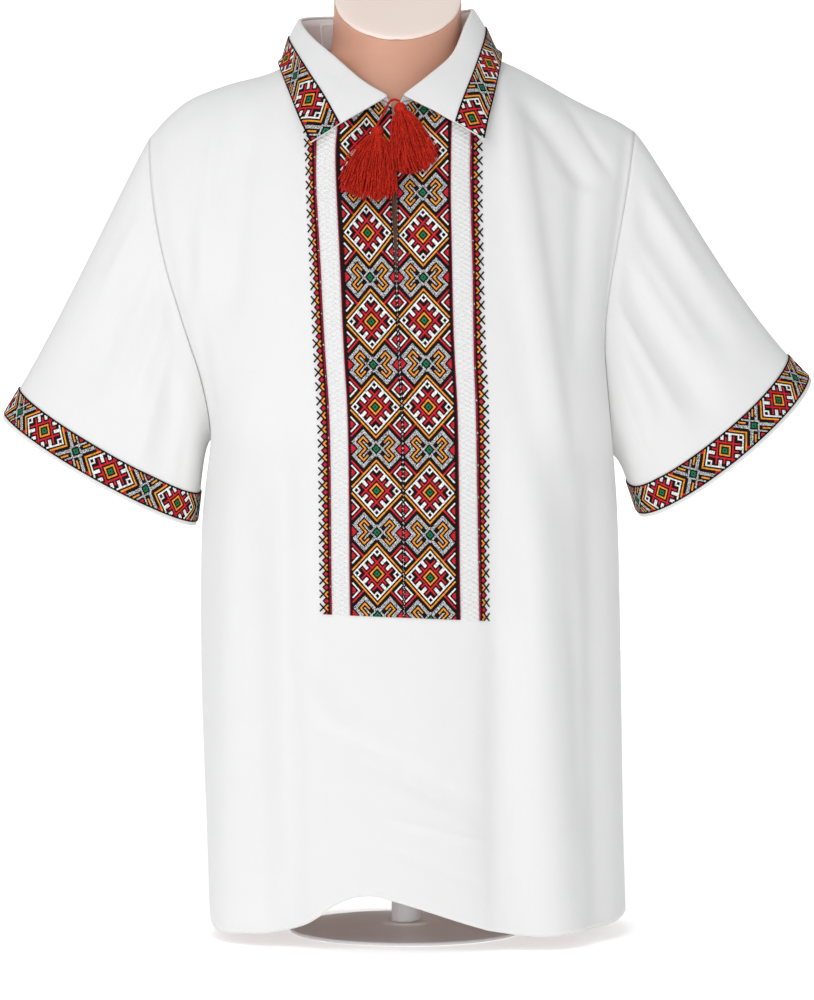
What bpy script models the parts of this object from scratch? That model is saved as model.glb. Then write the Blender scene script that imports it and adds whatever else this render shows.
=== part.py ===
"""A vyshyvanka, a short-sleeved folk shirt of white cotton with embroidered bands, on a torso form.

Metres, +Z up, the front faces -Y and the wearer's right side lies at -X. The form has no limbs. A panel
is a grid of points on its outer face, with the wall inside them: rows_of_column makes those of front and
back, sleeve_grid the sleeves' and collar_column the collar's. What is sewn on a panel is made from that
panel's own points, moved out. Tables are in millimetres.
"""

import math
from collections import namedtuple

import bmesh
import bpy
import numpy as np
from mathutils import Vector
from mathutils.bvhtree import BVHTree

for old in list(bpy.data.objects):
    bpy.data.objects.remove(old)

# ---- driving sizes -------------------------------------------------------------------------------

MM = 0.001
CLOTH = 0.0012           # wall of the shirt's cotton
BAND = 0.0008            # wall of the embroidered bands
SEAM_GAP = 0.0003        # between pieces that are sewn together
BAND_RAISE = 0.0012      # from a panel's outer face to that of a band on it
EDGE_GAP = 0.00045       # between walls that meet edge to edge at an angle
BAND_SET_IN = 0.0006     # how far a band's edges stay inside its own stretch of the panel
ARM_LEVEL = 0.452        # height of the armpits at the shirt's middle
ARM_TILT = -0.04         # rise of that level for each metre to the right
BAND_FOOT = 0.2965       # height where the placket and its side bands end
BAND_HEAD = 0.700        # height that the columns' upper values in the tables are given for
SLIT_FOOT = 0.598        # the slit of the placket ends here
SLIT_HEAD = 0.80         # and gapes to SLIT_GAPE on each side up here
SLIT_GAPE = 0.004
BODY_POWER = 2.4         # roundness of the body's level sections
SHOULDER_POWER = 2.4     # roundness of the chest's turn over the shoulder
THROAT_POWER = 2.2       # bend of the chest below the collar
ARMHOLE_SWELL = 0.052    # how far the armhole's edge stands forward and back of the shoulder tip
CUFF_BAND_WIDTH = 0.028
SLEEVE_SET_OFF = 0.0006
CUFF_HEM = 0.0035        # white hem below the cuff band
CUFF_SET_IN = 0.0012     # how far a cuff band's ends stay apart under the arm
COLLAR_BAND_WIDTH = 0.024
SHIFT = Vector((0.0005, 0.0110, 0.0))   # brings the middle of the whole to the origin

# ---- tables, in millimetres ----------------------------------------------------------------------

Section = namedtuple("Section", "height left right front back")
BODY = [
    Section(10, -181, 205, 152, 126),
    Section(80, -185, 203, 148, 126),
    Section(200, -191, 201, 141, 124),
    Section(330, -193, 199, 136, 120),
    Section(395, -191, 197, 133, 117),
    Section(452, -184, 193, 130, 114),
]

Hem = namedtuple("Hem", "across height")
FRONT_HEM = [
    Hem(-186, 26), Hem(-174, 14), Hem(-140, 11), Hem(-86, 25), Hem(-59, 43), Hem(-34, 49), Hem(-6, 43),
    Hem(20, 35), Hem(47, 26), Hem(74, 18), Hem(105, 12), Hem(141, 13), Hem(170, 13), Hem(187, 14),
    Hem(206, 21),
]
BACK_HEM = [Hem(-186, 26), Hem(-150, 16), Hem(-60, 13), Hem(0, 14), Hem(80, 13), Hem(160, 14), Hem(206, 21)]

Neckline = namedtuple("Neckline", "x y z")
NECK_FRONT_LEFT = [
    Neckline(-101, 0, 816), Neckline(-88, -34, 806), Neckline(-64, -64, 789), Neckline(-38, -82, 773),
    Neckline(-14, -89, 762),
]
NECK_FRONT_RIGHT = [
    Neckline(-6, -89, 763), Neckline(17, -78, 772), Neckline(42, -54, 790), Neckline(58, -26, 808),
    Neckline(67, 0, 822),
]
NECK_BACK = [
    Neckline(-101, 0, 816), Neckline(-92, 38, 822), Neckline(-64, 68, 830), Neckline(-18, 84, 834),
    Neckline(28, 68, 834), Neckline(57, 36, 830), Neckline(67, 0, 822),
]

Shoulder = namedtuple("Shoulder", "x z")
SHOULDER_LEFT = [
    Shoulder(-242, 742), Shoulder(-228, 758), Shoulder(-213, 772), Shoulder(-185, 786), Shoulder(-157, 795),
    Shoulder(-129, 802), Shoulder(-101, 816),
]
SHOULDER_RIGHT = [
    Shoulder(67, 822), Shoulder(97, 810), Shoulder(125, 796), Shoulder(153, 780), Shoulder(181, 766),
    Shoulder(200, 757), Shoulder(214, 748),
]

Armhole = namedtuple("Armhole", "height across")
ARMHOLE_LEFT = [Armhole(459, -183), Armhole(495, -186), Armhole(557, -204), Armhole(614, -222),
                Armhole(690, -237), Armhole(742, -242)]
ARMHOLE_RIGHT = [Armhole(444, 193), Armhole(494, 187), Armhole(560, 183), Armhole(600, 188),
                 Armhole(681, 203), Armhole(748, 214)]

# Where the edges of the sewn-on bands run on the front: across at BAND_FOOT, BAND_HEAD and the neckline.
Column = namedtuple("Column", "name foot head neck")
COLUMNS_LEFT = [
    Column("slit", -2.7, -9.9, -14), Column("mark", -14.6, -23, -26), Column("mark", -26.5, -36, -38),
    Column("mark", -38.5, -49, -50), Column("placket", -50.4, -62.2, -62),
    Column("hemstitch", -67.3, -80.2, -80),
    Column("edge_band", -78.8, -92.5, -101),
]
COLUMNS_RIGHT = [
    Column("slit", -2.7, -9.9, -6), Column("mark", 9.9, 2.6, 6), Column("mark", 22.5, 15.1, 18),
    Column("mark", 35.1, 27.6, 29), Column("placket", 47.8, 40.1, 40), Column("hemstitch", 62.0, 57.2, 55),
    Column("edge_band", 74.3, 70.0, 67),
]
# The columns beside the bands: how far forward of the side seam (1 is the front), and how far along the
# shoulder seam from the neck to the sleeve.
SIDE_FORWARD = [0.90, 0.80, 0.68, 0.52, 0.36, 0.18, 0.016, 0.0]
SIDE_SHOULDER = [0.14, 0.28, 0.43, 0.58, 0.73, 0.87, 0.985, 1.0]
BACK_COLUMNS = 8
ROWS_BELOW_BANDS = [0.0, 0.09, 0.22, 0.4, 0.6, 0.8, 1.0]
ROWS_TO_ARMPIT = [0.25, 0.5, 0.75, 1.0]
ROWS_TO_SHOULDER = [0.1, 0.2, 0.3, 0.41, 0.52, 0.64, 0.76, 0.87, 0.95, 0.99, 1.0]

# A fold runs from its top to its foot; depth is how far it stands out (+) or in (-) of the cloth.
Fold = namedtuple("Fold", "top_x top_z foot_x foot_z width depth")
FRONT_FOLDS = [
    Fold(-150, 430, -158, 10, 24, 12), Fold(-118, 440, -106, 30, 17, -10), Fold(112, 400, 133, 10, 26, 13),
    Fold(84, 420, 84, 60, 16, -8), Fold(172, 400, 176, 20, 14, -8), Fold(20, 260, 6, 30, 40, 4),
    Fold(88, 770, 128, 480, 12, 6), Fold(118, 760, 158, 700, 12, -5), Fold(160, 690, 154, 545, 10, -4),
    Fold(-150, 730, -160, 590, 12, -5), Fold(-205, 650, -182, 490, 10, -3),
    Fold(-52, 190, 60, 130, 12, -2.5),
]
BACK_FOLDS = [
    Fold(-130, 460, -142, 15, 22, 10), Fold(-88, 470, -80, 20, 18, -8), Fold(-20, 520, -30, 15, 26, 7),
    Fold(40, 500, 46, 20, 18, -7), Fold(110, 450, 120, 15, 24, 10), Fold(158, 420, 164, 20, 14, -7),
    Fold(-120, 740, -150, 560, 14, -5), Fold(110, 730, 150, 560, 14, -5), Fold(-90, 760, 70, 752, 16, -3),
]

# A cuff, seen from the front: the corners of its lower edge, the dip between them, and half its depth;
# then how far the sleeve's upper line sags towards it.
Cuff = namedtuple("Cuff", "outer_x outer_z inner_x inner_z dip depth sag")
CUFF_LEFT = Cuff(-380, 481, -198, 380, 14, 36, 8)
CUFF_RIGHT = Cuff(380, 516, 217, 391, 25, 36, 20)
# Folds along a sleeve: place round it in degrees from the top over the front, and part of its length.
SleeveFold = namedtuple("SleeveFold", "turn start stop width depth")
FOLD_EASE = (0.05, 0.2)       # a fold starts and dies out over this much of the sleeve, past it and within it
FOLDS_LEFT = [
    SleeveFold(62, 0.05, 0.75, 14, -6), SleeveFold(95, 0.0, 0.6, 12, 4), SleeveFold(125, 0.2, 1.0, 16, -6),
    SleeveFold(-80, 0.1, 0.8, 16, -6), SleeveFold(-130, 0.2, 0.9, 14, -5),
]
FOLDS_RIGHT = [
    SleeveFold(45, 0.0, 0.7, 13, -5), SleeveFold(78, 0.0, 0.8, 14, -7), SleeveFold(112, 0.1, 0.6, 12, 5),
    SleeveFold(-70, 0.1, 0.9, 16, -6), SleeveFold(-120, 0.1, 0.8, 14, -5),
]
SLEEVE_STATIONS = [0.0, 0.02, 0.08, 0.19, 0.33, 0.49, 0.66, 0.83, 1.0]
LEAVE_SHARE, FALL_SHARE = 0.12, 0.33    # how much of the way it keeps the armhole's and the cuff's direction
LEAVE_PUSH, UNDER_EASE = 10, 3          # how far it runs on in the panel's direction, less under the arm
ARM_FULLNESS = 0.16                     # how much deeper the arm makes it halfway

# Round the neck from the left front end to the right one: the collar's roll at the top and outer edge.
Collar = namedtuple("Collar", "roll_x roll_y roll_z edge_x edge_y edge_z")
COLLAR = [
    Collar(-18, -88, 769, -87, -110, 725), Collar(-40, -84, 783, -96, -100, 744),
    Collar(-66, -66, 808, -104, -80, 763), Collar(-88, -36, 831, -113, -48, 788),
    Collar(-99, -2, 850, -119, -10, 808), Collar(-94, 35, 860, -114, 40, 814),
    Collar(-66, 66, 866, -80, 84, 814), Collar(-18, 80, 869, -18, 101, 814),
    Collar(30, 66, 869, 44, 84, 817), Collar(55, 34, 867, 78, 40, 820), Collar(60, 4, 862, 87, 0, 820),
    Collar(54, -24, 845, 87, -37, 803), Collar(41, -55, 812, 81, -75, 775),
    Collar(18, -77, 788, 74, -98, 748),
    Collar(-3, -88, 770, 70, -110, 728),
]
COLLAR_COLUMNS = 25
COLLAR_ROLL = [(-0.0008, -0.0004), (0.0014, 0.0018), (0.0042, 0.0)]    # the turn of its top: out and up
COLLAR_BULGE = 0.004
COLLAR_CLEAR = CLOTH + 2 * SEAM_GAP + BAND + 0.0015
STAND_SET_IN = 0.0013
STAND_FOOT_UP, STAND_HEAD_DOWN, STAND_LEAST = 0.0008, 0.0034, 0.0010
LABEL_FROM, LABEL_TO = 9, 12      # the stand's columns that the label covers
LABEL_SET_IN, LABEL_WALL = 0.006, 0.0006

FormRing = namedtuple("FormRing", "height left right front back slope")
FORM = [
    FormRing(100, -118, 122, 72, 64, 0), FormRing(103, -136, 141, 86, 76, 0),
    FormRing(114, -147, 153, 93, 83, 0),
    FormRing(200, -146, 152, 97, 86, 0), FormRing(290, -139, 146, 97, 84, 0),
    FormRing(380, -150, 156, 104, 91, 0),
    FormRing(470, -164, 170, 111, 98, 0), FormRing(560, -172, 168, 112, 100, 0),
    FormRing(630, -194, 174, 104, 97, 0), FormRing(680, -210, 182, 86, 84, 0),
    FormRing(715, -216, 188, 76, 76, 0),
]
FORM_SHOULDER_HEIGHTS = [738, 752, 763, 773, 781, 788, 795, 801]
FORM_NECK = [
    FormRing(811, -78, 52, 66, 64, 0.0), FormRing(828, -71, 51, 64, 60, 0.19),
    FormRing(845, -70, 52, 64, 58, 0.38),
    FormRing(872, -69, 52, 64, 56, 0.76),
]
FORM_POINTS = 28
FORM_REACH = (-0.219, 0.192)    # the ends of its shoulders, which have no arms
RIDGE_SHARPNESS = (1.5, 24.0)   # of its shoulder ridges, at the chest and at the neck
FORM_CLEAR = 0.0021             # from the shirt's outer face down to the form, along the ridges
FORM_TIGHT_ABOVE = 0.766        # FORM_LEVEL_CLEAR holds above this height, FORM_LOOSE_CLEAR below it
FORM_LEVEL_CLEAR = 0.005
FORM_LOOSE_CLEAR = 0.009
FORM_STEP = 0.0005              # a point is drawn back from the cloth by such steps
CAP_THICKNESS = 4.0
CAP_GAP = 0.4

Turned = namedtuple("Turned", "radius height")
STAND_POST = [Turned(0, 99.7), Turned(14, 99.7), Turned(14, 8.3), Turned(0, 8.3)]
STAND_BASE = [
    Turned(0, 8), Turned(20, 8), Turned(22, 6), Turned(104, 4), Turned(109, 3), Turned(110, 1.5),
    Turned(110, 0), Turned(0, 0),
]

# The tie cord's route.
TIE = [(-6.5, -94.6, 764.2), (-11, -93.7, 766), (-15.5, -93, 764.5), (-18.5, -93, 759), (-21, -95, 753),
       (-24, -97, 747.5), (-26.8, -101.8, 741.7)]
TIE_DIAMETER = 0.0024

Tassel = namedtuple("Tassel", "name head_x head_z foot_x foot_z spread lift")
TASSELS = [
    Tassel("tassel_upper", -6, 757, 9, 699, 21, 9.0),
    Tassel("tassel_lower", -27, 735, -37, 675, 25, 11.0),
]
TASSEL_HEAD = 0.0062      # radius of a tassel's wound head
HEAD_FLATNESS = 0.8       # its depth over its width
HEAD_CLEAR = 0.0011       # lets the head clear the slope of the chest
SKIRT_DEPTH = 0.0062      # half the skirt's depth
STRANDS_ROUND = 12
STRAND_STEPS = [(0.30, 1.0), (0.65, 0.9), (1.0, 0.8)]    # share of a strand's length, size over the last

# ---- curves and surfaces -------------------------------------------------------------------------


def smooth(rows, key):
    """The values of a table at key, a cubic through its rows; the first column is the key, in order."""
    table = np.array(rows, float)
    keys = table[:, 0]
    if keys[0] > keys[-1]:
        table = table[::-1]
        keys = table[:, 0]
    key = min(max(key, keys[0]), keys[-1])
    i = min(int(np.searchsorted(keys, key, side="right")) - 1, len(keys) - 2)
    slopes = np.gradient(table, keys, axis=0)
    span = keys[i + 1] - keys[i]
    t = (key - keys[i]) / span
    start = (1 + 2 * t) * (1 - t) ** 2 * table[i] + t * (1 - t) ** 2 * span * slopes[i]
    end = t * t * (3 - 2 * t) * table[i + 1] + t * t * (t - 1) * span * slopes[i + 1]
    return (start + end)[1:]


def ramp(value, low, high):
    """0 below low, 1 above high, with a soft passage between."""
    t = min(max((value - low) / (high - low), 0.0), 1.0)
    return t * t * (3 - 2 * t)


def arm_level(x):
    return ARM_LEVEL + ARM_TILT * x


def round_section(across, power):
    """How deep a level section is at a part of its half-width."""
    return (1 - min(abs(across), 1.0) ** power) ** (1 / power)


def fold_depth(folds, x, z):
    """How far all folds together move the cloth at a place of the front view."""
    total = 0.0
    for fold in folds:
        along = (fold.top_z * MM - z) / ((fold.top_z - fold.foot_z) * MM)
        fade = ramp(along, -0.25, 0.15) * (1 - ramp(along, 0.9, 1.3))
        centre = (fold.top_x + (fold.foot_x - fold.top_x) * along) * MM
        total += fold.depth * MM * fade * math.exp(-(((x - centre) / (fold.width * MM)) ** 2))
    return total


def low_point(x, z, facing):
    """A point of the body below the armpits; facing is -1 for the front and 1 for the back."""
    left, right, front, back = smooth(BODY, z / MM) * MM
    middle = (left + right) / 2
    across = (x - middle) / ((right - left) / 2)
    depth = round_section(across, BODY_POWER)
    folds = fold_depth(FRONT_FOLDS if facing < 0 else BACK_FOLDS, x, z) * min(depth * 1.6, 1.0) ** 2
    return Vector((x, facing * (depth * (front if facing < 0 else back) + folds), z))


def side_x(forward, z, side):
    """Across, at a height, of the column that lies so far forward of the side seam."""
    left, right, front, back = smooth(BODY, z / MM) * MM
    across = round_section(forward, BODY_POWER)
    return (left + right) / 2 + side * across * (right - left) / 2


def shoulder_z(x, side):
    return smooth(SHOULDER_LEFT if side < 0 else SHOULDER_RIGHT, x / MM)[0] * MM


def climb(height, depth, arch):
    """Shares of a column's rise, of its depth and of the armhole's swell, evenly spaced along its curve."""
    up = 1 - (1 - np.linspace(0.0, 1.0, 120)) ** 3
    rounded = (1 - up ** SHOULDER_POWER) ** (1 / SHOULDER_POWER)
    inward = arch * rounded + (1 - arch) * (1 - up ** THROAT_POWER)
    steps = np.hypot(np.diff(up) * height, np.diff(inward) * depth)
    run = np.concatenate(([0.0], np.cumsum(steps)))
    shares = np.array(ROWS_TO_SHOULDER) * run[-1]
    swell = rounded * (1 - (1 - up) ** 3) ** 0.6
    return (np.interp(shares, run, values) for values in (up, inward, swell))


def high_rows(x_low, top, edge, side, facing):
    """A column's points from the armpits' level to the shoulder or neckline; edge is 1 at the armhole."""
    level = arm_level(x_low)
    low = low_point(x_low, level, facing)
    arch = 1 - ramp(abs(top.y), 0.068, 0.090 if facing < 0 else 0.086)
    folds = FRONT_FOLDS if facing < 0 else BACK_FOLDS
    start = fold_depth(folds, x_low, level)
    seam = ARMHOLE_LEFT if side < 0 else ARMHOLE_RIGHT
    pit, tip = seam[0].across * MM, seam[-1].across * MM
    points = []
    swell = ARMHOLE_SWELL * edge ** 1.5
    shares = climb(top.z - low.z, abs(top.y - low.y) + swell, arch)
    for rise, up, inward, out in zip(ROWS_TO_SHOULDER, *shares):
        x = x_low + (top.x - x_low) * up
        z = low.z + (top.z - low.z) * up
        y = top.y + (low.y - top.y) * inward
        y += facing * swell * out
        x += (smooth(seam, z / MM)[0] * MM - (pit + (tip - pit) * up)) * edge ** 2
        calm = (1 - edge ** 3) * (1 - ramp(rise, 0.8, 0.97)) * ramp(rise, 0.0, 0.12)
        y += facing * (fold_depth(folds, x, z) - start * inward) * calm
        points.append(Vector((x, y, z)))
    return points


def neck_top(x, facing, side):
    """The neckline's point at an across value."""
    rows = NECK_BACK if facing > 0 else (NECK_FRONT_LEFT if side < 0 else NECK_FRONT_RIGHT)
    y, z = smooth(rows, x / MM) * MM
    return Vector((x, y, z))


def column_line(column, z):
    share = (z - BAND_FOOT) / (BAND_HEAD - BAND_FOOT)
    return (column.foot + (column.head - column.foot) * share) * MM


def rows_of_column(x_at, top, edge, side, facing):
    """One column of the body's grid, from hem to shoulder or neckline."""
    hem_rows = FRONT_HEM if facing < 0 else BACK_HEM
    points = []
    hem = smooth(hem_rows, x_at(0.02) / MM)[0] * MM
    tilt = arm_level(x_at(BAND_FOOT)) - ARM_LEVEL
    for share in ROWS_BELOW_BANDS:
        z = hem + (BAND_FOOT + tilt - hem) * share
        points.append(low_point(x_at(z), z, facing))
    for share in ROWS_TO_ARMPIT:
        z = BAND_FOOT + tilt
        z += (arm_level(x_at(ARM_LEVEL)) - z) * share
        points.append(low_point(x_at(z), z, facing))
    x_low = x_at(arm_level(x_at(ARM_LEVEL)))
    return points + high_rows(x_low, top, edge, side, facing)


def side_columns(side, facing):
    """The columns from beside the bands to the side seam and armhole."""
    neck_x = (NECK_BACK[0] if side < 0 else NECK_BACK[-1]).x * MM
    tip_x = (SHOULDER_LEFT[0] if side < 0 else SHOULDER_RIGHT[-1]).x * MM
    columns = []
    for forward, along in zip(SIDE_FORWARD, SIDE_SHOULDER):
        x_top = neck_x + (tip_x - neck_x) * along
        top = Vector((x_top, 0.0, shoulder_z(x_top, side)))
        edge = round_section(forward, BODY_POWER) ** 2 * along
        columns.append(rows_of_column(lambda z, f=forward: side_x(f, z, side), top, edge, side, facing))
    return columns


def front_half(side):
    """The front's columns from the slit to the side seam."""
    columns = []
    for column in COLUMNS_LEFT if side < 0 else COLUMNS_RIGHT:
        top = neck_top(column.neck * MM, -1, side)
        columns.append(rows_of_column(lambda z, c=column: column_line(c, z), top, 0.0, side, -1))
    slit = columns[0]
    for i, point in enumerate(slit):
        opening = ramp(point.z, SLIT_FOOT, SLIT_HEAD) ** 0.6 * SLIT_GAPE
        meeting = (COLUMNS_LEFT[0].foot + (COLUMNS_LEFT[0].head - COLUMNS_LEFT[0].foot)
                   * (point.z - BAND_FOOT) / (BAND_HEAD - BAND_FOOT)) * MM
        slit[i] = Vector((meeting + side * opening, point.y, point.z))
    return columns + side_columns(side, -1)


def back_columns():
    """The back's columns from the left side seam to the right one."""
    left = side_columns(-1, 1)[::-1]
    right = side_columns(1, 1)
    middle = []
    first_low, last_low = COLUMNS_LEFT[-1].foot * MM, COLUMNS_RIGHT[-1].foot * MM
    for i in range(BACK_COLUMNS + 1):
        share = i / BACK_COLUMNS
        x_neck = (NECK_BACK[0].x + (NECK_BACK[-1].x - NECK_BACK[0].x) * share) * MM
        x_low = first_low + (last_low - first_low) * share
        side = 1 if share > 0.5 else -1
        middle.append(rows_of_column(lambda z, x=x_low: x, neck_top(x_neck, 1, side), 0.0, side, 1))
    return left + middle + right


def in_from_seams(columns, sides, gap):
    """Moves a panel's side seams and its shoulder seam in, clear of the panel it is sewn to."""
    for outer in sides:
        inner = 1 if outer == 0 else -2
        for i, point in enumerate(columns[outer]):
            columns[outer][i] = point + (columns[inner][i] - point).normalized() * gap
    for column in columns:
        column[-1] = column[-1] + (column[-2] - column[-1]).normalized() * gap
    return columns


# ---- meshes --------------------------------------------------------------------------------------

shirt = bpy.data.collections.new("vyshyvanka")
bpy.context.scene.collection.children.link(shirt)


def material(name, colour, roughness, metallic=0.0):
    finish = bpy.data.materials.new(name)
    finish.use_nodes = True
    shader = finish.node_tree.nodes["Principled BSDF"]
    shader.inputs["Base Color"].default_value = (*colour, 1.0)
    shader.inputs["Roughness"].default_value = roughness
    shader.inputs["Metallic"].default_value = metallic
    return finish


def add_object(name, mesh, finish):
    piece = bpy.data.objects.new(name, mesh)
    piece.location = SHIFT
    piece.data.materials.append(finish)
    shirt.objects.link(piece)
    return piece


def sheet(name, columns, wall, finish, closed=False, weld_first=None):
    """A cloth wall on a grid of points: they are its outer face, and the wall goes inwards from them."""
    shape = bmesh.new()
    grid = [[shape.verts.new(point) for point in column] for column in columns]
    pairs = list(zip(grid, grid[1:]))
    if closed:
        pairs.append((grid[-1], grid[0]))
    for near, far in pairs:
        for j in range(len(near) - 1):
            shape.faces.new((near[j], far[j], far[j + 1]))
            shape.faces.new((near[j], far[j + 1], near[j + 1]))
    if weld_first:
        bmesh.ops.remove_doubles(shape, verts=shape.verts, dist=weld_first)
    mesh = bpy.data.meshes.new(name)
    shape.to_mesh(mesh)
    shape.free()
    mesh.shade_smooth()
    piece = add_object(name, mesh, finish)
    solidify = piece.modifiers.new("wall", "SOLIDIFY")
    solidify.thickness = wall
    solidify.offset = -1.0
    solidify.use_even_offset = False
    return piece


def moved_out(columns, distance, closed=False):
    """The points of a grid, moved along the surface's own direction, which points out of the garment."""
    count, height = len(columns), len(columns[0])
    result = []
    for i in range(count):
        before, after = (i - 1, (i + 1) % count) if closed else (max(i - 1, 0), min(i + 1, count - 1))
        column = []
        for j in range(height):
            across = columns[after][j] - columns[before][j]
            up = columns[i][min(j + 1, height - 1)] - columns[i][max(j - 1, 0)]
            column.append(columns[i][j] + across.cross(up).normalized() * distance)
        result.append(column)
    return result


def part_of(grid, first, last, low, high):
    return [column[low:high + 1] for column in grid[first:last + 1]]


def drawn_in(columns, gap):
    """Moves the outermost columns and rows of a grid in by a gap."""
    for outer, inner in ((0, 1), (-1, -2)):
        for i, point in enumerate(columns[outer]):
            columns[outer][i] = point + (columns[inner][i] - point).normalized() * gap
    for column in columns:
        column[0] = column[0] + (column[1] - column[0]).normalized() * gap
        column[-1] = column[-1] + (column[-2] - column[-1]).normalized() * gap
    return columns


cotton = material("white_cotton", (0.85, 0.86, 0.88), 0.85)
embroidery = material("embroidery", (0.12, 0.03, 0.03), 0.8)
openwork = material("hemstitch", (0.80, 0.80, 0.79), 0.85)
yarn = material("red_yarn", (0.55, 0.03, 0.01), 0.8)
skin = material("form_plastic", (0.62, 0.36, 0.26), 0.5)
pale = material("pale_plastic", (0.85, 0.80, 0.76), 0.5)

# ---- front, back and the bands on the front ------------------------------------------------------

halves = {side: in_from_seams(front_half(side), [-1], EDGE_GAP) for side in (-1, 1)}
# A grid's columns run towards +X on the front and towards -X on the back, which turns its faces outwards.
front = halves[-1][::-1] + halves[1]
sheet("front_panel", front, CLOTH, cotton, weld_first=0.00002)
back = in_from_seams(back_columns(), [0, -1], EDGE_GAP)[::-1]
sheet("back_panel", back, CLOTH, cotton)

band_row = len(ROWS_BELOW_BANDS) - 1
top_row = len(front[0]) - 1
names = [column.name for column in COLUMNS_LEFT]
edges = {
    "placket": (0, names.index("placket"), top_row - 1),
    "hemstitch": (names.index("placket"), names.index("hemstitch"), top_row - 3),
    "edge_band": (names.index("hemstitch"), names.index("edge_band"), top_row - 4),
}
for side, word in ((-1, "left"), (1, "right")):
    raised = moved_out(halves[side][::side], BAND_RAISE)[::side]
    for name, (first, last, high_row) in edges.items():
        strip = drawn_in(part_of(raised, first, last, band_row, high_row)[::side], BAND_SET_IN)
        sheet(f"{name}_{word}", strip, BAND, openwork if name == "hemstitch" else embroidery)

# ---- sleeves and cuff bands ----------------------------------------------------------------------


def cuff_point(cuff, place):
    """A point of a cuff's lower edge; place is 0 under the arm, 0.25 in front and 0.5 at the outer end."""
    turn = place * 2 * math.pi
    out = (1 - math.cos(turn)) / 2
    x = (cuff.inner_x + (cuff.outer_x - cuff.inner_x) * out) * MM
    z = (cuff.inner_z + (cuff.outer_z - cuff.inner_z) * out) * MM
    dip = cuff.dip * math.sin(turn) if turn < math.pi else 0.3 * cuff.dip * math.sin(turn)
    return Vector((x, -cuff.depth * MM * math.sin(turn), z - dip * MM))


def places_round(ring):
    """The place of each of the ring's points, by length along each half."""
    half = len(ring) // 2
    places = []
    for part in (ring[:half + 1], ring[half:] + ring[:1]):
        lengths = np.cumsum([0.0] + [(q - p).length for p, q in zip(part, part[1:])])
        places += [0.5 * value / lengths[-1] for value in lengths[:-1]]
    return [place + (0.5 if i >= half else 0.0) for i, place in enumerate(places)]


def at_lengths(points, lengths):
    """Points at the given lengths along a polyline."""
    run = np.cumsum([0.0] + [(q - p).length for p, q in zip(points, points[1:])])
    table = np.array(points)
    return [Vector([np.interp(length, run, table[:, k]) for k in range(3)]) for length in lengths], run[-1]


def sleeve_line(start, leave, end, place, sag):
    """A line down the sleeve: it leaves the armhole in the panel's own direction and falls to the cuff."""
    away = end - start
    turn = place * 2 * math.pi
    push = (LEAVE_PUSH - UNDER_EASE * max(math.cos(turn), 0.0)) * MM
    first = start + away * LEAVE_SHARE + leave * push
    last = end - away * FALL_SHARE + sag * MM * (1 - math.cos(turn)) / 2
    line = []
    for i in range(41):
        t = i / 40
        point = start * (1 - t) ** 3 + first * (3 * t * (1 - t) ** 2)
        point += last * (3 * t * t * (1 - t)) + end * t ** 3
        point.y *= 1 + ARM_FULLNESS * math.sin(math.pi * min(t * 1.1, 1.0))
        line.append(point)
    return line


def sleeve_grid(side, cuff, folds):
    """The sleeve's columns round the arm, each from the armhole to the cuff's edge."""
    pit_row = len(ROWS_BELOW_BANDS) + len(ROWS_TO_ARMPIT) - 1
    ring, leaves = [], []
    for facing, rows in ((-1, slice(pit_row, None)), (1, slice(-2, pit_row, -1))):
        inner, outer = (column[rows] for column in side_columns(side, facing)[-3::2])
        ring += outer
        leaves += [(q - p).normalized() for p, q in zip(inner, outer)]
    sag = Vector((-side, 0.0, -1.0)).normalized() * cuff.sag
    columns, spots = [], []
    for point, leave, place in zip(ring, leaves, places_round(ring)):
        under = max(math.cos(place * 2 * math.pi), 0.0)
        leave = leave.lerp(Vector((side, 0.0, 0.0)), under ** 0.5).normalized()
        start = point + leave * SLEEVE_SET_OFF
        line = sleeve_line(start, leave, cuff_point(cuff, place), place, sag)
        total = at_lengths(line, [0.0])[1]
        free = total - CUFF_HEM - CUFF_BAND_WIDTH
        lengths = [station * free for station in SLEEVE_STATIONS]
        lengths += [free + CUFF_BAND_WIDTH / 2, free + CUFF_BAND_WIDTH, total]
        columns.append(at_lengths(line, lengths)[0])
        spots.append((place, [length / total for length in lengths]))
    if side > 0:
        columns, spots = columns[::-1], spots[::-1]
    out = moved_out(columns, 1.0, closed=True)
    for column, away, (place, shares) in zip(columns, out, spots):
        turn = 180 - 360 * place
        for j, share in enumerate(shares):
            move = 0.0
            for fold in folds:
                gap = (turn - fold.turn + 180) % 360 - 180
                begun = ramp(share, fold.start - FOLD_EASE[0], fold.start + FOLD_EASE[1])
                ended = ramp(share, fold.stop - FOLD_EASE[1], fold.stop + FOLD_EASE[0])
                move += fold.depth * MM * begun * (1 - ended) * math.exp(-((gap * 1.3 / fold.width) ** 2))
            under = 1 - max(math.cos(place * 2 * math.pi), 0.0) ** 2
            column[j] = column[j] + (away[j] - column[j]) * move * ramp(share, 0.02, 0.12) * under
    return columns


for side, word, cuff, folds in ((-1, "left", CUFF_LEFT, FOLDS_LEFT), (1, "right", CUFF_RIGHT, FOLDS_RIGHT)):
    grid = sleeve_grid(side, cuff, folds)
    sheet(f"sleeve_{word}", grid, CLOTH, cotton, closed=True)
    raised = moved_out(grid, BAND_RAISE, closed=True)
    start = 0 if side < 0 else len(grid) - 1
    ring = raised[start:] + raised[:start] + [raised[start]]
    band = part_of(ring, 0, len(ring) - 1, len(SLEEVE_STATIONS) - 1, len(SLEEVE_STATIONS) + 1)
    sheet(f"cuff_band_{word}", drawn_in(band, CUFF_SET_IN), BAND, embroidery)

# ---- collar --------------------------------------------------------------------------------------

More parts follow.
